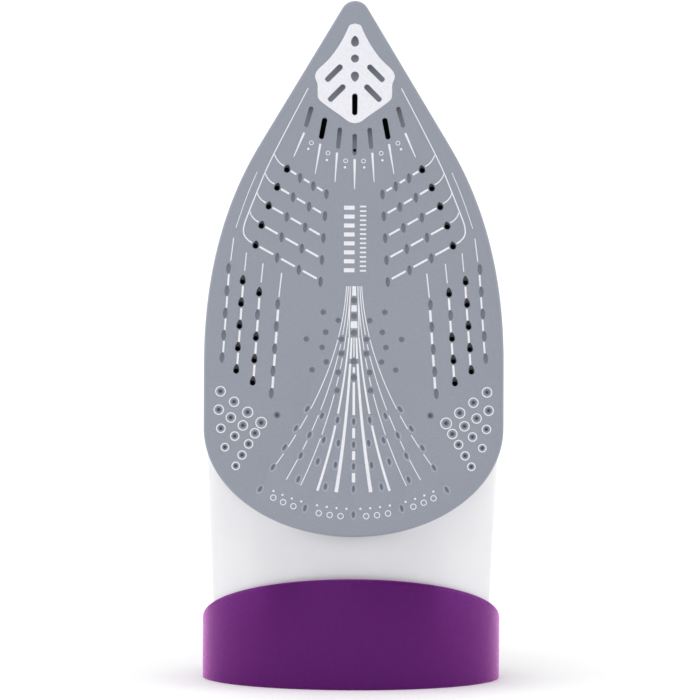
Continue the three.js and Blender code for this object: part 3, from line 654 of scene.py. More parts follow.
def round_steps(low, high, edge, count=4):
    """Steps of (inset, y) for a slab from low to high with both edges rounded."""
    rising = [(inwards, low + up) for inwards, up in quarter(edge, count)]
    return rising + [(up, high - inwards) for inwards, up in quarter(edge, count)]


def slab(outline, low, high, edge=0, place=LEANING):
    """A plan outline given a thickness, with its edges rounded by edge."""
    steps = round_steps(low, high, edge) if edge else [(0, low), (0, high)]
    return solid(loft(levels(outline, steps)), place)


def turned(profile, place=LEANING, count=72):
    """A body of revolution about the y axis, from a closed profile of (radius, y)."""
    angles = [2 * math.pi * i / count for i in range(count)]
    sections = [[(r * math.cos(a), y, r * math.sin(a)) for r, y in profile] for a in angles]
    return solid(loft(sections, ring=True), place)


def rod(radius, low, high, place=LEANING, x=0, z=0, edge=0, count=48):
    profile = [(0, low), (radius, low, edge), (radius, high, edge), (0, high)]
    if not edge:
        profile = [corner[:2] for corner in profile]
    return turned(rounded(profile), at(x, 0, z, place), count)


def block(x0, x1, y0, y1, z0, z1, place=LEANING):
    outline = [(x0, z0), (x1, z0), (x1, z1), (x0, z1)]
    return slab(outline, y0, y1, place=place)


def tube(points, radius, place=LEANING, sides=16, steps=6, curved=True):
    """A round tube with flat ends along a line of points."""
    line = smooth(points, steps) if curved else points
    curve = bpy.data.curves.new("tube", "CURVE")
    curve.dimensions = "3D"
    curve.bevel_depth = radius
    curve.bevel_resolution = sides // 4
    curve.use_fill_caps = True
    spline = curve.splines.new("POLY")
    spline.points.add(len(line) - 1)
    for point, spot in zip(spline.points, line):
        point.co = (*(place @ Vector(spot)), 1)
    obj = bpy.data.objects.new("tube", curve)
    bpy.context.scene.collection.objects.link(obj)
    bpy.context.view_layer.update()
    mesh = bpy.data.meshes.new_from_object(obj)
    bpy.data.objects.remove(obj)
    points_made = [tuple(vertex.co) for vertex in mesh.vertices]
    faces_made = [tuple(polygon.vertices) for polygon in mesh.polygons]
    return solid((points_made, faces_made), UPRIGHT)


def lathe(name, profile, place=LEANING, count=72):
    """A turned piece that stands for a node, from a profile with rounded corners."""
    piece(turned(rounded(profile), place, count), name)


def body_solid(grow=0, count=96, spacing=4):
    """The body's outer shape, grown by grow, from below the floor to the tip."""
    end = NOSE_END + grow
    steps = int((end - BODY_FROM) / spacing)
    stations = [BODY_FROM + (end - BODY_FROM) * i / steps for i in range(steps + 1)]
    return solid(loft([body_section(z, grow, count) for z in stations]))


def tank_space(distance):
    """The space that the tank takes, moved inwards by distance."""
    low, high = TANK_FROM + distance, TANK_TO - distance
    floor_low = TANK_FLOOR + distance
    floor_high = TANK_FLOOR - TANK_FLOOR_SLOPE * (high - TANK_FROM) + distance
    outline = [(low, floor_low), (high, floor_high), (high, 120), (low, 120)]
    return solid(loft([[(x, y, z) for z, y in outline] for x in (-80, 80)]))


def handle_ring(t, grow, count, wall=0, half=0):
    """Section of the handle at t: all round, or a band of the outer or inner half with a wall."""
    centre, out, half_width, half_thickness = handle_station(t)

    def point(angle, distance):
        across = (half_width + grow - distance) * super_ellipse(math.cos(angle), 2.4)
        outwards = (half_thickness + grow - distance) * super_ellipse(math.sin(angle), 2.4)
        return Vector((across, 0, 0)) + centre + out * (outwards + half * GAP / 2)

    if not half:
        return [point(2 * math.pi * i / count, 0) for i in range(count)]
    arms = count // 2
    softened = 0.3
    outer = [point(half * math.pi * i / arms, 0) for i in range(arms + 1)]
    outer[0] = point(0, softened)
    outer[-1] = point(math.pi, softened)
    inner = [point(half * math.pi * i / arms, wall) for i in range(arms, -1, -1)]
    return outer + inner


def handle_solid(grow=0, start=0, end=1, steps=110, count=64, wall=0, half=0):
    stations = [start + (end - start) * s / steps for s in range(steps + 1)]
    made = loft([handle_ring(t, grow, count, wall, half) for t in stations])
    if half:
        points, faces = made
        size = len(points) // len(stations)
        last = len(points) - size
        faces = faces[:-2]
        for i in range(size // 2 - 1):
            strip = (i, i + 1, size - 2 - i, size - 1 - i)
            faces += [strip[::-1], tuple(last + k for k in strip)]
        made = points, faces
    return solid(made)


def heel_space(grow):
    """Everything under the plane that the handle's foot ends on, raised by grow."""
    outline = [(-100, grow - 100), (100, grow - 100), (100, grow), (-100, grow)]
    edge = at(0, -HEEL_HALF_DEPTH, HEEL_FRONT, UPRIGHT)
    place = edge @ Matrix.Rotation(-HANDLE_SLOPE, 4, "X")
    return solid(loft([[(x, y, z) for x, z in outline] for y in (-150, 150)]), place)


def piece(obj, node, material=None, sharp=32, name=None):
    """Turns a solid to metres, gives it the node's finish and body, and lets it stand for the node."""
    obj.data.transform(METRES)
    obj.name = name or f"{node}_fine"
    obj.data.name = obj.name
    obj.data.materials.clear()
    obj.data.materials.append(material or MATERIALS[SLOT_OF[node]])
    obj.data.shade_smooth()
    obj.data.set_sharp_from_angle(angle=math.radians(sharp))
    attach(obj, BODY_OF[node])
    if name is None:
        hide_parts(node)
    return obj


# ---- features of the sole

# A dimple, or a steam outlet, in the sole: x and the distance from the tip, lean of its tip end towards
# the centre line in degrees, width, length, and how it is pressed.
Feature = namedtuple("Feature", "kind x s lean width length press")

# Rings of each kind of recess below its rim: share of the width left, depth in millimetres, recess value,
# which is painted shade, and a painted highlight where it is below PLAIN.
PRESSES = {
    "dimple": [(0.95, 0.05, 0.25), (0.84, 0.3, 0.48), (0.55, 0.52, 0.5), (0.2, 0.56, 0.5)],
    "groove": [(0.95, 0.06, 0.35), (0.84, 0.36, 0.58), (0.55, 0.6, 0.6), (0.2, 0.62, 0.6)],
    "soft": [(0.93, 0.04, 0.08), (0.6, 0.3, 0.1), (0.4, 0.46, 0.45), (0.2, 0.6, 0.6)],
    "pit": [(0.92, 0.08, 0.3), (0.68, 0.38, 0.5), (0.42, 0.7, 0.66), (0.16, 0.85, 0.74)],
    "outlet": [(0.95, 0.07, 0.6), (0.86, 0.34, 0.79), (0.8, 0.4, 0.83), (0.77, 0.6, 1), (0.74, 4, 1)],
    "slot outlet": [(0.97, 0.08, 0.6), (0.92, 0.4, 0.95), (0.9, 4, 1)],
}


PATTERN_START = 0.3  # distances down the pattern are measured from this far below the tip


def on_face(x, s):
    """The place on the sole of a point of the pattern, s down from its start."""
    return x, SOLE_LENGTH - PATTERN_START - s


def both_sides(features):
    return features + [f._replace(x=-f.x, lean=-f.lean) for f in features if f.x]


def feature_loop(feature, share=1.0, grow=0.0, count=20):
    """Outline of a feature in (x, z), with its width and length cut to share or grown."""
    half_width = feature.width / 2 * share + grow
    half_length = feature.length / 2 - feature.width / 2 * (1 - share) + grow
    round_share = min(max((0.86 - share) / 0.06, 0), 1) if feature.press == "outlet" else 0
    lean = math.radians(feature.lean)
    at_x, at_z = on_face(feature.x, feature.s)
    loop = []
    for i in range(count):
        cosine, sine = math.cos(2 * math.pi * i / count), math.sin(2 * math.pi * i / count)
        u, v = half_width * cosine, half_width * sine
        if feature.kind == "lens":
            u, v = half_width * signed_power(cosine, 1.2), half_length * sine
        elif feature.kind == "slot":
            v += math.copysign(half_length - half_width, sine)
        elif feature.kind == "drop" and sine > 0:
            reach = (2 * half_length - half_width) * (1 - round_share) + half_width * round_share
            u, v = half_width * signed_power(cosine, 1.35 - 0.35 * round_share), reach * sine
        x = at_x + u * math.cos(lean) - v * math.sin(lean)
        loop.append((x, at_z + u * math.sin(lean) + v * math.cos(lean)))
    return loop


ROWS = 5  # of the diagonal rows on each side


def row_ends(k):
    """The outer and inner end of diagonal row k, as (x, s)."""
    outer = 28.0 + 4.3 * k - 0.27 * k * k, 69.9 + 7.4 * k + 0.12 * k * k
    return outer, (11.6 + 0.58 * k, 80 + 9.07 * k)


def along_row(k, share):
    (ax, a_s), (bx, b_s) = row_ends(k)
    return ax + (bx - ax) * share, a_s + (b_s - a_s) * share


def column_point(column, k):
    """The place (x, s) of recess k in a column down the side, with column 0 the outermost."""
    x = 52 - 5.4 * column - 0.47 * column**2 + 0.63 * k
    return x, 110.9 + 4.9 * column + 9.22 * k


def row_features():
    """The diagonal rows and the side columns: steam outlets at the rows' ends and in two columns."""
    made = []
    for k in range(ROWS):
        x, s = along_row(k, 0)
        made.append(Feature("drop", x, s, 13, 2.7, 3.6, "outlet"))
        for third in (1, 2, 3):
            x, s = along_row(k, third / 3)
            made.append(Feature("lens", x, s, 3, 2.0, 4.3, "dimple"))
    for column in range(4):
        for k in range(5):
            x, s = column_point(column, k)
            if column == 1 or (column == 2 and k != 1):
                made.append(Feature("drop", x, s + 0.5, 5, 2.6, 4.2, "outlet"))
            else:
                made.append(Feature("lens", x, s, 3, 2.2, 4.6, "dimple"))
    return both_sides(made)


# Rows of ringed pits in the rear corners: first (x, s), step, and the outer radius of each ring.
RING_ROWS = [
    ((55.1, 161.7), (-5.63, 4.3), (2.2, 2.15, 2.33, 2.45)),
    ((55.8, 169.3), (-5.0, 3.23), (2.17, 2.17, 2.17, 2.17)),
    ((54.9, 177.0), (-5.75, 3.2), (1.97, 1.97, 1.97)),
    ((53.2, 184.8), (-7.1, 3.2), (1.78, 1.93)),
    ((48.7, 192.5), (0, 0), (1.78,)),
]


def ring_places():
    """(x, s, outer radius) of the rings round the pits, on one side."""
    return [
        (x + i * dx, s + i * ds, radius)
        for (x, s), (dx, ds), radii in RING_ROWS
        for i, radius in enumerate(radii)
    ]


def pit_features():
    pits = [Feature("round", x, s, 8, r * 1.12, r * 1.3, "pit") for x, s, r in ring_places()]
    return both_sides(pits + [Feature("round", 31.7, 171.5, 0, 3.2, 3.2, "pit")])


FAN_TOP = 118
FAN_SPOTS = [
    (12.7, 128.8),
    (6.5, 132.2),
    (11.7, 137.1),
    (19.7, 140),
    (5.1, 140),
    (13.2, 143.4),
    (5.1, 145.9),
    (11.4, 149.4),
    (17.3, 152.7),
    (6.5, 153.7),
    (6.9, 161.2),
]
FAN_ANGLE = 30.3  # degrees from the centre line to the outermost fan line


def fan_features():
    """Dimples between and on the fan's lines."""
    made = [Feature("round", 0, s, 0, 2.9, 3.0, "dimple") for s in (123.9, 130.5, 137.4, 149.2, 155.8)]
    made += [Feature("lens", 0, s, 0, 2.9, 4.4, "soft") for s in (174, 183.6, 192.6, 201.9, 212.5)]
    for radius, count in ((38, 3), (47.3, 4), (56.5, 4), (66, 3), (76.5, 2)):
        for i in range(1, count + 1):
            lean = FAN_ANGLE * i / count
            x, s = radius * math.sin(math.radians(lean)), 136 + radius * math.cos(math.radians(lean))
            made.append(Feature("lens", x, s, lean, 3.0, 4.5, "soft"))
    made += [Feature("round", x, s, 6, 2.5, 3.0, "dimple") for x, s in FAN_SPOTS]
    return both_sides(made)


def tip_features():
    made = [
        Feature("slot", 0, 42.7, 0, 2.3, 9.0, "slot outlet"),
        Feature("slot", 13.1, 52.7, 10.6, 2.3, 9.1, "slot outlet"),
        Feature("slot", 8.7, 29.8, 45, 2.35, 9.3, "groove"),
        Feature("slot", 7.5, 38.05, 45, 2.35, 9.3, "groove"),
        Feature("drop", 0, 17.1, 0, 3.3, 4.5, "groove"),
        Feature("round", 0, 23.7, 0, 3.3, 3.3, "groove"),
        Feature("drop", 0, 30.8, 180, 3.4, 4.2, "groove"),
    ]
    for i in (0, 1, 3):
        s = 59.35 - 2.0 * i - 0.6 * i * i
        made.append(Feature("slot", 6.55 * i - 0.07 * i * i, s, 5.3 * i, 2.0, 9.0, "groove"))
    return both_sides(made)


ROW_FEATURES = row_features()
FAN_FEATURES = fan_features()
TIP_FEATURES = tip_features()
FEATURES = ROW_FEATURES + pit_features() + FAN_FEATURES + TIP_FEATURES


# ---- the soleplate


def inside(point, loop):
    """Whether a point lies inside a loop."""
    x, z = point
    found = False
    for (ax, az), (bx, bz) in zip(loop, loop[1:] + loop[:1]):
        if (az > z) != (bz > z) and x < ax + (bx - ax) * (z - az) / (bz - az):
            found = not found
    return found


def filled(outer, holes):
    """Points and triangles that fill the outer loop around the holes."""
    points, edges, owner = [], [], []
    for number, loop in enumerate((outer, *holes)):
        first = len(points)
        points += loop
        owner += [number] * len(loop)
        edges += [(first + i, first + (i + 1) % len(loop)) for i in range(len(loop))]
    made = delaunay_2d_cdt([Vector(point) for point in points], edges, [], 1, 1e-6)
    faces = []
    for face in made[2]:
        owners = {owner[made[3][v][0]] for v in face}
        middle = sum((made[0][v] for v in face), Vector((0, 0))) / 3
        only = owners.pop() if len(owners) == 1 else 0
        if only == 0 or not inside(middle, holes[only - 1]):
            faces.append(tuple(face))
    return [tuple(point) for point in made[0]], faces


class Skin:
    """A mesh put together from patches, with a value for each point."""

    def __init__(self):
        self.points, self.faces, self.values = [], [], []

    def add(self, points, faces, values=None):
        first = len(self.points)
        self.points += points
        self.faces += [tuple(first + i for i in face) for face in faces]
        self.values += values or [PLAIN] * len(points)


def top_shade(feature, z):
    """How much darker a recess is at height z than in its middle, as its upper end is in shade."""
    most = 0.14 if feature.press == "groove" else 0.06
    return most * (z - SOLE_LENGTH + feature.s) / feature.length * 2


def soleplate():
    """The coated plate: a flat face with pressed dimples and drilled steam outlets, and a rounded rim."""
    skin = Skin()
    back_edge = [(0, SOLE_THICKNESS - SOLE_BACK_EDGE), (SOLE_BACK_EDGE, SOLE_THICKNESS)]
    outline = sole_outline()
    sections = levels(outline, quarter(SOLE_BEVEL, 5) + back_edge)
    points, faces = loft(sections)
    skin.add(points, faces[:-2])

    drilled = []
    for feature in FEATURES:
        rings = [(1, 0, PLAIN)] + PRESSES[feature.press]
        loops = [feature_loop(feature, share) for share, _, _ in rings]
        sections = [[(x, depth, z) for x, z in loop] for loop, (_, depth, _) in zip(loops, rings)]
        points, faces = loft(sections)
        # painted shade: each ring's recess value darkens it, and top_shade darkens its upper end more
        values = [
            dark + (top_shade(feature, z) if PLAIN < dark < 0.7 else 0)
            for loop, (_, _, dark) in zip(loops, rings)
            for _, z in loop
        ]
        if rings[-1][1] == SOLE_THICKNESS:
            drilled.append(loops[-1])
            faces = faces[:-2]
        else:
            faces = faces[:-2] + faces[-1:]
        skin.add(points, faces, values)
    for outer, y, loops in (
        (inset(outline, SOLE_BEVEL), 0, [feature_loop(feature) for feature in FEATURES]),
        (inset(outline, SOLE_BACK_EDGE), SOLE_THICKNESS, drilled),
    ):
        flat, faces = filled(outer, loops)
        skin.add([(x, y, z) for x, z in flat], faces)
    plate = solid((skin.points, skin.faces))
    walls = shade_recesses(plate, skin)
    piece(plate, "soleplate", sharp=28)
    # painted shade: the walls of the outlets get the near-black finish
    plate.data.materials.append(HOLE_SHADE)
    for face, is_wall in zip(plate.data.polygons, walls):
        face.material_index = int(is_wall)
    steam_ports()


def steam_ports():
    """Painted shade: black discs in the casting behind the outlets, and a small one in a slot near the tip,
    standing for the shade in the holes.
    """
    for number, feature in enumerate(f for f in FEATURES if "outlet" in f.press):
        mouth = slab(feature_loop(feature, grow=0.6), SOLE_THICKNESS + 0.08, SOLE_THICKNESS + 0.22)
        ports = join(ports, mouth) if number else mouth
    piece(ports, "heater_casting", HOLE_SHADE, name="steam_ports")
    port = rod(0.65, 0.4, 0.5, z=on_face(0, 61.7)[1], edge=0.03)
    piece(port, "soleplate", HOLE_SHADE, name="tip_port_shade")


def shade_recesses(plate, skin):
    """Stores the painted shade of each point of the plate, and gives the walls of the outlets their own
    near-black finish, which is painted shade.
    """
    darkness = {}
    for point, value in zip(skin.points, skin.values):
        darkness[tuple(round(c, 2) for c in LEANING @ Vector(point))] = value
    attribute = plate.data.attributes.new("recess", "FLOAT", "POINT")
    for vertex, item in zip(plate.data.vertices, attribute.data):
        item.value = darkness.get(tuple(round(c, 2) for c in vertex.co), PLAIN)
    values = [item.value for item in attribute.data]
    return [all(values[v] > BLACK for v in face.vertices) for face in plate.data.polygons]


# ---- the print on the sole

INK_LOW, INK_HIGH = -0.05, -0.01  # the print stands this far off the sole's face


def stroke(points, start_width, end_width=None):
    """Outline of a line through (x, s) points, from one width to another."""
    end_width = end_width or start_width
    line = [Vector(on_face(x, s)) for x, s in points]
    left, right = [], []
    for i, here in enumerate(line):
        along = (line[min(i + 1, len(line) - 1)] - line[max(i - 1, 0)]).normalized()
        half = (start_width + (end_width - start_width) * i / (len(line) - 1)) / 2
        side = Vector((-along.y, along.x)) * half
        left.append(tuple(here + side))
        right.append(tuple(here - side))
    return left + right[::-1]


def dashes_between(features, width, offset=(0, 0)):
    """Dashes from each feature to the next."""
    made = []
    for a, b in zip(features, features[1:]):
        start = Vector((a.x + offset[0], a.s + offset[1]))
        end = Vector((b.x + offset[0], b.s + offset[1]))
        along = (end - start).normalized()
        clear = 1.85 if abs(along.x) > 0.5 else 2.25
        made.append(stroke([start + along * clear, end - along * clear], width))
    return made


def diagonal_print():
    """Dashes along the diagonal rows, and the lines that feed them from the side."""
    made = []
    for k in range(ROWS):
        row = [Feature("lens", *along_row(k, third / 3), 0, 2.0, 4.3, "") for third in range(4)]
        made += dashes_between(row, 0.85, (0, -0.5))
        if k < ROWS - 1:
            x, s = along_row(k, 0)
            bend = [(5.41 - 0.28 * k, -6.8 + 0.3 * k), (4.25, -4.5), (2.8, -2.65), (1.15, -1.55)]
            made.append(stroke(smooth([(x + dx, s + ds) for dx, ds in bend], 5), 0.4, 0.55))
    upper = [(19.3, 36.0), (26.6, 50.0), (33.4, 63.3), (37.1, 71.2), (40.3, 79.0)]
    lower = [(43.6, 87.3), (45.6, 92.9), (45.7, 96.6), (44.0, 99.0), (42.3, 100.2)]
    made.append(stroke(smooth(upper + lower, 5), 0.4, 0.6))
    made.append(stroke(smooth([(40.3, 70.8), (43.6, 78.6), (46.4, 86.2), (49.0, 94)], 5), 0.3))
    return made


def column_print():
    """Dashes down the side columns, and a line above each."""
    made = []
    for column in range(4):
        run = [Feature("lens", *column_point(column, k), 0, 2.2, 4.6, "") for k in range(5)]
        made += dashes_between(run, 0.75 + 0.08 * column, (-0.3, 0))
    for start, end, width in (
        ((49.9, 98.1), (51.1, 107.7), 0.42),
        ((44.6, 104.2), (45.3, 111.8), 0.42),
        ((37.7, 108.7), (38.5, 116.6), 0.45),
        ((30, 112.6), (31.1, 122.6), 0.5),
    ):
        made.append(stroke([start, end], width))
    return made


def fan_print():
    """Lines that spread from the middle of the sole, broken round the dimples on them."""
    lines = [
        (1, 1, 0, 193.2, 0.38, 0.38),
        (0.77, 0.755, 0, 198.3, 0.38, 0.38),
        (0.52, 0.565, 0, 200.6, 0.38, 0.38),
        (0.31, 0.37, 21.3, 202.7, 0.5, 1.05),
        (0.145, 0.175, 21.3, 203.4, 0.5, 1.5),
    ]
    made = []
    for first, last, start, end, start_width, end_width in lines:
        length = end - FAN_TOP

        def point(t, first=first, last=last, length=length):
            share = first + (last - first) * t / length
            return share * (3.1 + 0.0602 * t + 0.0045 * t * t), FAN_TOP + t

        def width(t, a=start_width, b=end_width, length=length):
            return a + (b - a) * t / length

        made += broken(point, width, length, start)
    made.append(stroke([(1.45, FAN_TOP), (1.75, 126), (2, 133), (1.95, 139.5)], 0.38, 0.45))
    centre = broken(lambda t: (0, 151.5 + t), lambda t: 0.9 + 0.0112 * t, 48.7)
    centre.append(stroke([(0, 139.2), (0, 147.4)], 0.45, 0.55))
    for start, end in ((0, 3.9), (7.9, 10.5), (14.5, 17.4)):
        run = [(0, FAN_TOP + start), (0, FAN_TOP + end)]
        centre.append(stroke(run, 1.45 + 0.085 * start, 1.45 + 0.085 * end))
    return made, centre


def near_dimple(x, s):
    """Whether (x, s) lies on or just beside one of the fan's dimples."""
    beside = {"round": 0.25, "lens": -0.1}
    for f in FAN_FEATURES:
        across, along = f.width / 2 + beside[f.kind], f.length / 2 + 0.3
        if ((x - f.x) / across) ** 2 + ((s - f.s) / along) ** 2 < 1:
            return True
    return False


def broken(point, width, length, start=0):
    """Strokes along point(t) for t from start to length, leaving out what lies near a dimple."""
    step, shortest, every = 0.3, 5, 8  # millimetres, then the fewest steps drawn, and the steps per point
    runs, run = [], []
    for i in range(int(start / step), int(length / step) + 1):
        here = point(i * step)
        if near_dimple(*here):
            runs.append(run)
            run = []
        else:
            run.append((i * step, here))
    runs.append(run)
    made = []
    for run in runs:
        if len(run) > shortest:
            kept = run[::every] + (run[-1:] if (len(run) - 1) % every else [])
            made.append(stroke([place for _, place in kept], width(run[0][0]), width(run[-1][0])))
    return made


def tip_patch():
    """Outline in (x, z) of the white patch at the tip, from points (x, s) of its right half."""
    upper = [(0, 9.2), (2.2, 9.9), (3.2, 11.8), (5.1, 15.7), (7.8, 20.1), (11.1, 24.3), (15.3, 28.4)]
    middle = [(16.5, 31.2), (15.5, 34.4), (15.4, 38.2), (14.8, 40.7)]
    lower = [(11.1, 43.7), (6.1, 47.2), (2.4, 49.9), (0, 50.5)]
    fine = smooth(upper + middle + lower, 5)
    whole = fine + [(-x, s) for x, s in reversed(fine[1:-1])]
    return [on_face(x, s) for x, s in whole]


def ring_print():
    """Rings (x, s, radius, line) and dots (x, s, radius) round the pits, rear edge and tip, on one side."""
    rings = [(x, s, radius, 0.42) for x, s, radius in ring_places()]
    dots = [(4, 68.8, 0.5), (11.5, 65.8, 0.5), (19.2, 61.2, 0.5)]
    for angle in (4.05, 7.5, 11, 19.3, 22.8, 26.2):
        x, s = 75 * math.sin(math.radians(angle)), 138.3 + 75 * math.cos(math.radians(angle))
        rings.append((x, s, 1.3, 0.36))
    for first in (2.1, 15.9):
        for i in range(4):
            angle = math.radians(first + 2.98 * i)
            dots.append((78.7 * math.sin(angle), 131.4 + 78.7 * math.cos(angle), 0.45))
    rings += [(x, s, 0.96, 0.3) for x, s in ((3.7, 66.1), (11, 62.9), (17.9, 58.7))]
    return rings, dots


def needles():
    """Tapering lines below the slots near the tip, on one side."""
    lines = ((7.3, 62.7), (8.1, 74.9)), ((14.2, 59.1), (16.3, 71.5)), ((20.9, 54.5), (25.2, 64.5))
    return [stroke(line, 0.95, 0.35) for line in lines]


def bars():
    """A plain pattern of short bars up the middle of the sole."""
    wide = [stroke([(-4.3, 85.5 + 3.7 * i), (0.1, 85.5 + 3.7 * i)], 1.7) for i in range(8)]
    return wide + [stroke([(2.3, 85 + 1.9 * i), (4.9, 85 + 1.9 * i)], 0.7) for i in range(15)]


def print_on_sole():
    """All the print on the sole, as one thin piece."""
    one_side = diagonal_print() + column_print() + needles()
    fan, middle = fan_print()
    one_side += fan
    outlines = [(loop, []) for loop in one_side + middle + bars()]
    outlines += [([(-x, z) for x, z in loop[::-1]], []) for loop in one_side]
    outlines.append((stroke([(0, 65.4), (0, 77.8)], 1.1, 0.4), []))
    holes = [feature_loop(f, grow=0.05) for f in TIP_FEATURES if f.s < 44 and abs(f.x) < 12]
    outlines.append((tip_patch(), holes))
    rings, dots = ring_print()
    for side in (-1, 1):
        for x, s, radius, line in rings:
            spot = on_face(side * x, s)
            outlines.append((circle(radius, *spot, 40), [circle(radius - line, *spot, 40)]))
        outlines += [(circle(radius, *on_face(side * x, s), 20), []) for x, s, radius in dots]
    skin = Skin()
    for outer, holes in outlines:
        flat, faces = filled(outer, holes)
        for y in (INK_LOW, INK_HIGH):
            skin.add([(x, y, z) for x, z in flat], faces)
        for loop in (outer, *holes):
            points, faces = loft([[(x, y, z) for x, z in loop] for y in (INK_LOW, INK_HIGH)])
            skin.add(points, faces[:-2])
    return piece(solid((skin.points, skin.faces)), "soleplate", PRINT, name="sole_print")


# ---- heater, under the housing

CASTING_TOP = 17
SHIELD_TOP = 14
ELEMENT_X = 45.5
ELEMENT_RADIUS = 4.1
ELEMENT_Y = 12.4


def behind(depth_z):
    """A block that takes away everything nearer the rear edge than depth_z."""
    return block(-80, 80, 0, 40, -10, depth_z)


def heater_casting():
    low = SOLE_THICKNESS + GAP
    reach = ELEMENT_RADIUS + 0.9
    casting = slab(sole_outline(6.5), low, CASTING_TOP, 0.8)
    groove = slab(sole_outline(16.5 - reach, 9 + reach), 8, 30)
    island = slab(sole_outline(16.5 + reach, 9 - reach), 7, 31)
    cut(groove, island, behind(43))
    chamber = cut(slab(sole_outline(24), 7.5, 30), behind(93))
    cut(casting, groove, chamber, block(-80, 80, 13.8, 40, 194, 240))
    cut(casting, *(rod(2, 10, 30, x=side * 20, z=14) for side in (-1, 1)))
    piece(casting, "heater_casting")


def heating_element():
    """A tubular element bent round the tip of the casting."""
    bend = [p for p in sole_outline(16.5, 9, 10) if p[1] > 45]
    run = [(ELEMENT_X, 45)] + bend[1:] + [(-ELEMENT_X, 45)]
    line = [(x, ELEMENT_Y, z) for x, z in run]
    piece(tube(line, ELEMENT_RADIUS, curved=False), "heating_element")
    for name, side in SIDES:
        foot = ELEMENT_Y + ELEMENT_RADIUS + GAP
        pin = rod(1.5, foot, 30, x=side * ELEMENT_X, z=48, edge=0.4)
        piece(pin, f"{name}_element_terminal")


def steam_chamber_cover():
    cover = slab(sole_outline(21.8), CASTING_TOP + GAP, 18.5, 0.3)
    cut(cover, behind(90.5), rod(1.1, 10, 30, z=STEAM_Z), rod(2.6, 10, 30, x=-PUMP_X, z=PUMP_Z))
    piece(cover, "steam_chamber_cover")


def steam_valve_seat():
    bore = NEEDLE_RADIUS + 0.8
    profile = [(bore, 18.8), (7, 18.8, 0.5), (7, 25, 1), (5.5, 27.6, 0.8), (bore, 27.6, 0.5)]
    lathe("steam_valve_seat", profile, at(0, 0, STEAM_Z))


def heat_shield():
    shield = slab(sole_outline(2.2), SOLE_THICKNESS + GAP, SHIELD_TOP, 0.4)
    piece(cut(shield, slab(sole_outline(4.8), 0, 30)), "heat_shield")


def screw(name, place, head_radius, head_height, shank_radius, length):
    """A pan-head screw along -y, with a cross recess in its head."""
    profile = [
        (0, 0),
        (head_radius * 0.8, 0, head_height * 0.3),
        (head_radius, -head_height * 0.55, head_height * 0.5),
        (head_radius, -head_height, 0.15),
        (shank_radius, -head_height),
        (shank_radius, -length + shank_radius * 0.8),
        (shank_radius * 0.3, -length),
        (0, -length),
    ]
    made = turned(rounded(profile), place)
    arm, half = head_radius * 0.62, head_radius * 0.12
    depth = head_height * 0.75
    for long_x, long_z in ((arm, half), (half, arm)):
        small = rounded_rectangle(long_x * 0.8, long_z * 0.8, half * 0.7, steps=3)
        large = rounded_rectangle(long_x, long_z, half * 0.9, steps=3)
        sections = [[(x, y, z) for x, z in loop] for loop, y in ((small, -depth), (large, 0.2))]
        cut(made, solid(loft(sections), place))
    piece(made, name)


def mounting_strap():
    strap = slab(rounded_rectangle(32, 5, 1.5, 0, 14), CASTING_TOP + GAP, 18.6, 0.3)
    cut(strap, *(rod(2.1, 10, 30, x=side * 20, z=14) for side in (-1, 1)))
    piece(strap, "rear_mounting_strap")
    for name, side in SIDES:
        screw(f"{name}_strap_screw", at(side * 20, 20.9, 14), 3.6, 2, 1.6, 9)


def thermostat():
    low = CASTING_TOP + GAP
    case = slab(rounded_rectangle(11, 12.5, 1.5, 0, 77.5), low, 29, 0.6)
    join(case, rod(6, 28.5, 32, z=DIAL_Z, edge=0.6))
    piece(cut(case, rod(SPINDLE_RADIUS + GAP, 22, 40, z=DIAL_Z)), "thermostat_body")
    piece(rod(SPINDLE_RADIUS, 24, 84.5, z=DIAL_Z, edge=0.6), "thermostat_spindle")
    across = at(0, low + 2.3, 48) @ Matrix.Rotation(math.pi / 2, 4, "Z")
    piece(rod(2.2, -8, 8, across, edge=0.9), "thermal_fuse")


# ---- housing, tank and deck


def below(height):
    """A block of everything below a height in the upright frame."""
    return block(-90, 90, -90, 140, -80, height, UPRIGHT)


def main_housing():
    housing = body_solid(count=128, spacing=3)
    tip = block(-60, 60, 0, 60, TANK_TO - 4, 240)
    hollow = cut(body_solid(-WALL), below(HEEL_FLOOR + GAP + 3), tip)
    opening = slab(sole_outline(5.2), 0, 24)
    cut(opening, block(-60, 60, SHIELD_TOP + GAP, 60, 196, 240))
    throat = handle_solid(-HANDLE_WALL - 1, 0.02, 0.25, 24)
    space = slab(sole_outline(1.9), -1, SHIELD_TOP + GAP)
    cut(housing, below(HEEL_FLOOR + GAP), tank_space(0), hollow, space, opening, throat)
    for side in (-1, 1):
        join(housing, upright_rod(4.5, HEEL_FLOOR + GAP, 17, side * HEEL_SCREW_X))
    cut(housing, *(upright_rod(1.9, 0, 15.5, side * HEEL_SCREW_X) for side in (-1, 1)))
    piece(housing, "main_housing")


def upright_rod(radius, low, high, x):
    place = at(x, 0, 0, UPRIGHT) @ Matrix.Rotation(math.pi / 2, 4, "X")
    return rod(radius, low, high, place, count=32)


def spindle_holes():
    """Rods that clear the way of the thermostat's spindle and of the valve's needle."""
    return [rod(r + 0.6, 0, 120, z=z) for r, z in ((SPINDLE_RADIUS, DIAL_Z), (NEEDLE_RADIUS, STEAM_Z))]


def filler_mouth(grow):
    return rounded_rectangle(FILLER_HALF_WIDTH - 3 + grow, FILLER_HALF_LENGTH - 3 + grow, 3)


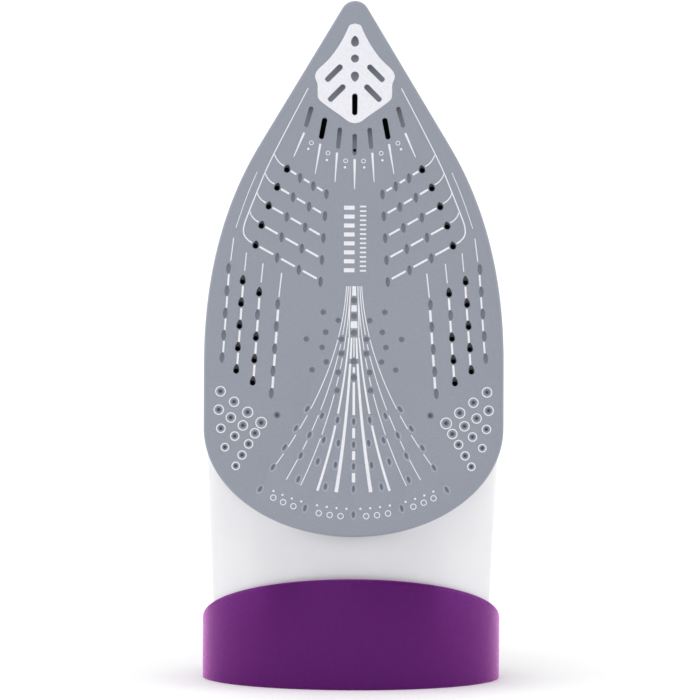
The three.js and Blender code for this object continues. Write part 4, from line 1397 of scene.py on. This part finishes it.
def water_tank():
    """Clear shell with wells round the two spindles, a filler boss with two hinge ears, and pipe holes."""
    outer = common(body_solid(count=128, spacing=3), tank_space(GAP))
    inner = common(body_solid(-TANK_WALL), tank_space(TANK_WALL + GAP))
    wells = [
        common(rod(radius, 0, 120, z=z), common(body_solid(), tank_space(GAP)))
        for radius, z in ((5, DIAL_Z), (4, STEAM_Z))
    ]
    tank = join(cut(outer, inner), *wells)
    filler = rounded_rectangle(FILLER_HALF_WIDTH, FILLER_HALF_LENGTH, 4)
    join(tank, slab(filler, -5, FILLER_SEAT, 0.2, NOSE))
    for side in (-1, 1):
        x = side * 8.6
        ear = join(
            rod(HINGE_RADIUS, -x - 1.2, -x + 1.2, HINGE, edge=0.3),
            block(x - 1.2, x + 1.2, -4, HINGE_Y, HINGE_Z - 2, HINGE_Z + 2, NOSE),
        )
        join(tank, ear)
    cut(tank, slab(filler_mouth(0), -12, 5, place=NOSE), rod(0.8 + GAP, -20, 20, HINGE))
    cut(tank, *(rod(2.6, 60, 90, x=side * PUMP_X, z=PUMP_Z) for side in (-1, 1)))
    cut(tank, rod(2.6, 0, 40, x=-PUMP_X, z=PUMP_Z))
    piece(cut(tank, *spindle_holes()), "water_tank")


def filler_lid():
    outline = rounded_rectangle(FILLER_HALF_WIDTH, FILLER_HALF_LENGTH, 4)
    lid = slab(outline, LID_BOTTOM, LID_TOP, 0.7, NOSE)
    bridge = slab(rounded_rectangle(6.8, 2.3, 0.3, 0, 11.3), LID_BOTTOM + 0.2, LID_TOP, 0.2, NOSE)
    lip = slab(rounded_rectangle(6, 1.8, 1, 0, -10.7), LID_BOTTOM + 0.6, LID_TOP, 0.5, NOSE)
    join(lid, bridge, lip, rod(HINGE_RADIUS, -6.8, 6.8, HINGE, edge=0.3))
    cut(lid, rod(0.8 + GAP, -20, 20, HINGE))
    piece(lid, "filler_lid")
    piece(rod(0.8, -9.6, 9.6, HINGE, edge=0.3), "filler_hinge_pin")
    low = FILLER_SEAT + GAP
    seal = slab(filler_mouth(1.8), low, low + 1, 0.4, NOSE)
    piece(cut(seal, slab(filler_mouth(0.2), low - 1, low + 2, place=NOSE)), "filler_seal")


def deck_cover():
    side = [(25, 26)] + bezier((25, 26), (25, 74), (21, 100), (17, 142), 16)
    half = [(13, 14), *side, (9, 150)]
    outline = half + [(-x, z) for x, z in reversed(half)]
    top = [(inset_by, y) for inset_by, y in round_steps(62, DECK_TOP, 2, 6) if y > DECK_TOP - 2.1]
    deck = solid(loft(levels(outline, [(0, 62)] + top)))
    cut(deck, body_solid(GAP, 128, 3), handle_solid(GAP))
    cut(deck, *spindle_holes())
    piece(cut(deck, rod(4.5 + GAP, 0, 120, x=CLEAN_X, z=CLEAN_Z)), "deck_cover")


# ---- controls on the deck

DIAL_LOW = DECK_TOP + GAP
DIAL_HEIGHT = 9
DIAL_SCALLOPS = 36


def scalloped(radius, y, depth):
    """A ring of a dial at height y, with scallops cut in by depth."""
    ring = []
    for i in range(DIAL_SCALLOPS * 8):
        angle = 2 * math.pi * i / (DIAL_SCALLOPS * 8)
        reach = radius - depth * abs(math.cos(angle * DIAL_SCALLOPS / 2)) ** 3
        ring.append((reach * math.cos(angle), y, reach * math.sin(angle)))
    return ring


def temperature_dial():
    """Scalloped dial with a dished top, a raised pointer, and dots that grow with the heat."""
    top = DIAL_LOW + DIAL_HEIGHT
    place = at(0, 0, DIAL_Z)
    side = [(0.5, DIAL_LOW, 0.5), (0, DIAL_LOW + 0.5, 0.8), (0, top - 3.2, 0.8), (0.3, top - 1.8, 0.7)]
    rim = [(1.1, top - 0.6, 0.4), (2.2, top - 0.1, 0.1), (3.2, top - 0.1, 0)]
    dish = [(4.5, top - 0.7, 0), (8, top - 1.5, 0), (DIAL_RADIUS - 1, top - 1.8, 0)]
    rings = [scalloped(DIAL_RADIUS - inwards, y, depth) for inwards, y, depth in side + rim + dish]
    dial = solid(loft(rings), place)
    piece(cut(dial, rod(SPINDLE_RADIUS + GAP, DIAL_LOW - 1, DIAL_LOW + 5, place)), "temperature_dial")
    pointer = slab(rounded_rectangle(1, 3, 0.9, 0, DIAL_RADIUS - 6), top - 2.2, top - 0.2, 0.3, place)
    marks = [pointer]
    for i in range(9):
        angle = math.radians(50 + 32.5 * i)
        x, z = 17 * math.sin(angle), 17 * math.cos(angle)
        marks.append(rod(0.45 + 0.09 * i, top - 2, top - 0.95, place, x, z, 0.15, 24))
    piece(join(*marks), "temperature_dial", MATERIALS["purple_plastic"], name="dial_marks")


def steam_dial():
    place = at(0, 0, STEAM_Z)
    knob = rod(STEAM_RADIUS, DIAL_LOW, DIAL_LOW + 4, place, edge=1.2)
    bar = slab(rounded_rectangle(2.6, STEAM_RADIUS - 1.5, 2.2), DIAL_LOW + 3, DIAL_LOW + 10, 1.1, place)
    join(knob, bar)
    piece(cut(knob, rod(NEEDLE_RADIUS + GAP, DIAL_LOW - 1, DIAL_LOW + 7, place)), "steam_dial")
    needle = [(0, 19.2), (0.5, 19.2), (NEEDLE_RADIUS, 21, 0.4), (NEEDLE_RADIUS, 83.3, 0.4), (0, 83.3)]
    lathe("steam_valve_needle", needle, place, 32)


def self_clean_button():
    profile = [(0, 78.2), (4.5, 78.2, 0.4), (4.5, 83.4, 0.9), (2.6, 83.4, 1), (1.2, 82.7, 1), (0, 82.7)]
    lathe("self_clean_button", profile, at(CLEAN_X, 0, CLEAN_Z))


# ---- handle


def skin_tree():
    """The handle's outer skin, to lay pads on."""
    skin = handle_solid()
    tree = BVHTree.FromObject(skin, bpy.context.evaluated_depsgraph_get())
    bpy.data.objects.remove(skin)
    return tree


HANDLE_SKIN = skin_tree()


def pad(outline, place, low, high, edge, crown=0, flat_floor=None):
    """A pad laid on the handle's skin, from low to high above it, with a rounded edge and a crown."""
    centre = sum((Vector(p) for p in outline), Vector((0, 0))) / len(outline)
    up = (place.to_3x3() @ Vector((0, 1, 0))).normalized()
    inverse = place.inverted()

    def laid(x, z, height):
        hit = HANDLE_SKIN.ray_cast(place @ Vector((x, 170, z)), -up)[0]
        return inverse @ (hit + up * height)

    def ring(inset_by, share, height):
        loop = [centre + (Vector(p) - centre) * share for p in inset(outline, inset_by)]
        if height is None:
            return [(x, flat_floor, z) for x, z in loop]
        return [laid(x, z, height) for x, z in loop]

    shares = (0.03, 0.3, 0.6, 0.85)
    bottom = None if flat_floor is not None else low
    sections = [ring(0, share, bottom) for share in (*shares, 1)]
    sections += [ring(up, 1, high - inwards) for inwards, up in quarter(edge, 5)]
    sections += [ring(edge, share, high + crown * (1 - share**2)) for share in reversed(shares)]
    return solid(loft(sections), place)


def below_handle():
    return join(body_solid(GAP, 128, 3), heel_space(GAP))


def grip_outline(grow):
    return rounded_rectangle(12.5 + grow, 37 + grow, 9, 0, 80, 12)


def button_outline(side, grow):
    return rounded_rectangle(6 + grow, 8.5 + grow, 3, side * PUMP_X, PUMP_Z - 3)


def handle_shells():
    place = on_handle(REAR_COVER_AT)
    rear = rounded_rectangle(17, 13, 5)
    upper = handle_solid(wall=HANDLE_WALL, half=1)
    cut(upper, below_handle(), rod(15, -10, 14, GLAND), slab(grip_outline(GAP), 140, 170))
    cut(upper, slab(inset(rear, -GAP), -12, 14, place=place))
    cut(upper, rod(5.8, -10, 10, on_handle(NOZZLE_AT)), rod(3.3, -10, 10, on_handle(LAMP_AT)))
    cut(upper, *(slab(button_outline(side, GAP), 124, 170) for side in (-1, 1)))
    piece(upper, "handle_upper_shell")
    lower = handle_solid(wall=HANDLE_WALL, half=-1)
    piece(cut(lower, below_handle(), rod(15, -10, 14, GLAND)), "handle_lower_shell")

    grip = pad(grip_outline(0), LEANING, -HANDLE_WALL, 0.5, 0.6)
    piece(grip, "grip_pad")
    cover = pad(rear, place, -HANDLE_WALL, 0.4, 0.6)
    cut(cover, rod(1.9, -20, 20, place), rod(3.9, -1.6, 10, place))
    piece(cover, "rear_cover")
    screw("rear_cover_screw", at(0, -0.2, 0, place), 3.5, 1.2, 1.5, 10)


def nozzle_and_lamp():
    at_nozzle, at_lamp = on_handle(NOZZLE_AT), on_handle(LAMP_AT)
    bezel = [(3.4, -2), (5.5, -2), (5.5, 0.6, 0.5), (4.6, 1.4, 0.5), (3.4, 1.4, 0.4)]
    lathe("spray_nozzle_bezel", bezel, at_nozzle)
    tip = [(0.6, -7), (3, -7), (3, 1, 0.5), (1.6, 2.6, 0.4), (0.6, 2.6, 0.2)]
    lathe("spray_nozzle", tip, at_nozzle)
    dome = arc(0, -0.4, 3, 1.5, 0, math.pi / 2, 8)
    piece(turned([(0, -2.4), (3, -2.4), *dome], at_lamp), "indicator_lens")
    bulb = arc(0, -5, 2.2, 2.2, 0, math.pi / 2, 8)
    piece(turned([(0, -11), (2.2, -11), *bulb], at_lamp), "neon_lamp")


def pumps():
    for name, side in (("spray", 1), ("steam_boost", -1)):
        place = at(side * PUMP_X, 0, PUMP_Z)
        button = pad(button_outline(side, 0), LEANING, 0, 0.9, 1, 0.35, flat_floor=128)
        piece(button, f"{name}_button")
        piston = [(0, 90), (1.8, 90, 0.3), (1.8, 96), (3.9, 96, 0.3), (3.9, 100, 0.3)]
        stem = [(1.8, 100), (1.8, 127.7, 0.3), (0, 127.7)]
        lathe(f"{name}_plunger", piston + stem, place)
        cylinder = [(0, 82), (5.5, 82, 0.6), (5.5, 105, 0.5), (4.2, 105, 0.4), (4.2, 84), (0, 84)]
        lathe(f"{name}_pump_cylinder", cylinder, place)
        spring(name, place)
    for name, x, low in (("steam_boost", -PUMP_X, 18.8), ("water_pickup", PUMP_X, 31)):
        pipe = [(1.2, low), (1.9, low, 0.3), (1.9, 81.7, 0.3), (1.2, 81.7)]
        lathe(f"{name}_pipe", pipe, at(x, 0, PUMP_Z))
    x, z = PUMP_X, PUMP_Z
    hose = [(x, 86, z + 6), (x - 1, 86, z + 9), (3, 88, z + 10), (0, 92, z + 10)]
    piece(tube(hose, 1.4), "spray_hose")


SPRING_LOW, SPRING_HIGH = 106, 126.6


def spring(name, place):
    """A compression spring that its button shortens, with a closed coil at each end."""
    turns, radius, wire = 6, 3.4, 0.45
    end_turns = 0.75
    end_pitch = 2 * wire * 1.05
    free = SPRING_HIGH - SPRING_LOW - 2 * wire - 2 * end_turns * end_pitch
    steps = turns * 20
    points = []
    for i in range(steps + 1):
        turn = turns * i / steps
        rise = min(max(turn - end_turns, 0) / (turns - 2 * end_turns), 1)
        closed = end_pitch * (min(turn, end_turns) + max(turn - turns + end_turns, 0))
        y = SPRING_LOW + wire + closed + free * rise
        points.append((radius * math.cos(2 * math.pi * turn), y, radius * math.sin(2 * math.pi * turn)))
    made = piece(tube(points, wire, place, sides=8, curved=False), f"{name}_return_spring")
    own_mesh(made)


def cord_gland():
    bezel = [(12.3, -2.6), (13.5, -2.6, 0.4), (14.6, 2.6), (14.6, 4, 0.6), (13.6, 5, 0.6), (12.3, 5, 0.5)]
    lathe("cord_gland_bezel", bezel, GLAND)
    race = 9.3
    ring = rounded([(13.2, -5, 0.3), (13.2, -3, 0.3), (12, -3), (12, 5.2, 0.5), (10.6, 5.8, 0.5)])
    ring += arc(0, 0, race, race, math.asin(4.2 / race), math.asin(-5 / race), 12)
    piece(turned(ring, GLAND), "cord_swivel_ring")
    radius, hole, sleeve = 9, 3.9, 5.7
    start, end = -math.acos(hole / radius), math.acos(sleeve / radius)
    ball = arc(0, 0, radius, radius, start, end, 32)
    ball += rounded([(sleeve, 8), (sleeve, 12.5, 0.8), (hole, 12.5, 0.6), (hole, 0)])[1:-1]
    piece(turned(ball, GLAND), "cord_swivel_ball")


# ---- wiring


def wiring():
    terminal = slab(rounded_rectangle(15, 5, 1, 0, -27), 62, 74, 0.6)
    for x in (-10, 0, 10):
        cut(terminal, rod(2.4, 71, 80, x=x, z=-27))
    piece(terminal, "terminal_block")
    place = on_handle(0.2)
    piece(slab(rounded_rectangle(9, 3, 1.2), -17, -14, 0.5, place), "cord_clamp")
    for name, side in SIDES:
        screw(f"{name}_clamp_screw", at(side * 12.2, -12, 0, place), 2.2, 1.4, 1.2, 8)
    live = [(5, 60.8, -27), (6, 50, -20), (8, 40, 10), (8, 36, 40), (6, 34.2, 60), (5, 30.6, 68)]
    neutral = [(-10, 60.8, -27), (-18, 50, -14), (-36, 38, 14), (-45.5, 36, 38), (-45.5, 31.4, 48)]
    heater = [(12.2, 26, 76), (20, 30, 72), (34, 35, 58), (42, 35, 50), (45.5, 31.4, 48)]
    for name, line in (("live", live), ("neutral", neutral), ("heater", heater)):
        piece(tube(line, 1.1), f"{name}_lead")


# ---- heel

RIM_EDGE = 2
FOOT_EDGE = 0.8


def heel_cap():
    """The glossy cap that the iron stands on: an ellipse cut by a slope, with a rounded rim and foot."""
    slope = math.tan(HEEL_SLOPE)

    def ring(inset_by, height=None, drop=0):
        half_x, half_y = HEEL_HALF_WIDTH - inset_by, HEEL_HALF_DEPTH - inset_by
        points = []
        for x, y in arc(0, 0, half_x, half_y, 0, 2 * math.pi, 240)[:-1]:
            rim = HEEL_FRONT - slope * (y + HEEL_HALF_DEPTH) - drop
            points.append((x, y, rim if height is None else height))
        return points

    sections = [ring(inwards, up) for inwards, up in quarter(FOOT_EDGE, 6)]
    sections += [ring(up, drop=inwards) for inwards, up in quarter(RIM_EDGE, 6)]
    cap = solid(loft(sections), UPRIGHT)
    pocket = cut(body_solid(GAP, 128, 3), block(-100, 100, -100, 100, -100, HEEL_FLOOR, UPRIGHT))
    cut(cap, pocket)
    for name, side in SIDES:
        x = side * HEEL_SCREW_X
        cut(cap, upright_rod(4.2, -1, 2.6, x), upright_rod(1.9, -1, 10, x))
        down = at(x, 0, 0.6, UPRIGHT) @ Matrix.Rotation(-math.pi / 2, 4, "X")
        screw(f"{name}_heel_screw", down, 3.8, 1.7, 1.6, 13)
    piece(cap, "heel_cap", sharp=35)


# ---- assembly

SOLE = [soleplate, print_on_sole, heater_casting, heating_element, steam_chamber_cover, steam_valve_seat]
BODY = [heat_shield, mounting_strap, thermostat, main_housing, water_tank, filler_lid, deck_cover]
CONTROLS = [temperature_dial, steam_dial, self_clean_button]
HANDLE = [handle_shells, nozzle_and_lamp, pumps, cord_gland, wiring, heel_cap]
for make in SOLE + BODY + CONTROLS + HANDLE:
    make()

# ---- floor, light and camera


def floor():
    """A very large matt white floor, so that it reaches past the top of the picture."""
    greys = (0.3, (0.86, 0.86, 0.86, 1)), (0.7, (0.88, 0.88, 0.88, 1))
    half = 60
    corners = [(-half, -half, 0), (half, -half, 0), (half, half, 0), (-half, half, 0)]
    mesh = bpy.data.meshes.new("floor")
    mesh.from_pydata(corners, [], [(0, 1, 2, 3)])
    mesh.materials.append(finished("floor", (3, 2), greys, (40, 2), (0.7, 0.8)))
    obj = bpy.data.objects.new("floor", mesh)
    bpy.context.scene.collection.objects.link(obj)


def sun(name, place, strength, spread, target=(0, 0, 0.13)):
    """A sun that shines from place to target, softened by a spread in degrees."""
    data = bpy.data.lights.new(name, "SUN")
    data.energy = strength
    data.angle = math.radians(spread)
    obj = bpy.data.objects.new(name, data)
    obj.location = place
    obj.rotation_euler = (Vector(target) - Vector(place)).to_track_quat("-Z", "Y").to_euler()
    bpy.context.scene.collection.objects.link(obj)


def studio():
    """Soft daylight all round, a sun above, and weaker ones from the front and both sides."""
    world = bpy.data.worlds.new("studio")
    bpy.context.scene.world = world
    world.use_nodes = True
    background = world.node_tree.nodes["Background"]
    background.inputs["Color"].default_value = (1, 1, 1, 1)
    background.inputs["Strength"].default_value = 0.42
    sun("overhead", (-0.15, 0.2, 3), 2.3, 60)
    sun("front", (-0.3, -1.4, 0.75), 0.4, 50)
    sun("left", (-1, -0.12, 0.19), 1.65, 60)
    sun("right", (1, -0.12, 0.19), 1.9, 60)
    bpy.context.scene.view_settings.view_transform = "Standard"


CAMERA_AWAY = 4.5
LENS_PER_METRE = 124.3  # millimetres of lens for each metre to the object keep its size in the picture


def camera():
    """A long lens at the height of the sole's middle, looking a little down."""
    data = bpy.data.cameras.new("camera")
    data.lens = LENS_PER_METRE * CAMERA_AWAY
    data.sensor_width = 36
    obj = bpy.data.objects.new("camera", data)
    target = Vector((-0.00158, -0.030, 0.1405))
    down, yaw, roll = math.radians(6), math.radians(-0.9), math.radians(0.33)
    turn = Matrix.Rotation(yaw, 4, "Z") @ Matrix.Rotation(math.pi / 2 - down, 4, "X")
    away = turn @ Vector((0, 0, CAMERA_AWAY))
    obj.matrix_world = Matrix.Translation(target + away) @ turn @ Matrix.Rotation(roll, 4, "Z")
    bpy.context.scene.collection.objects.link(obj)
    bpy.context.scene.camera = obj


floor()
studio()
camera()
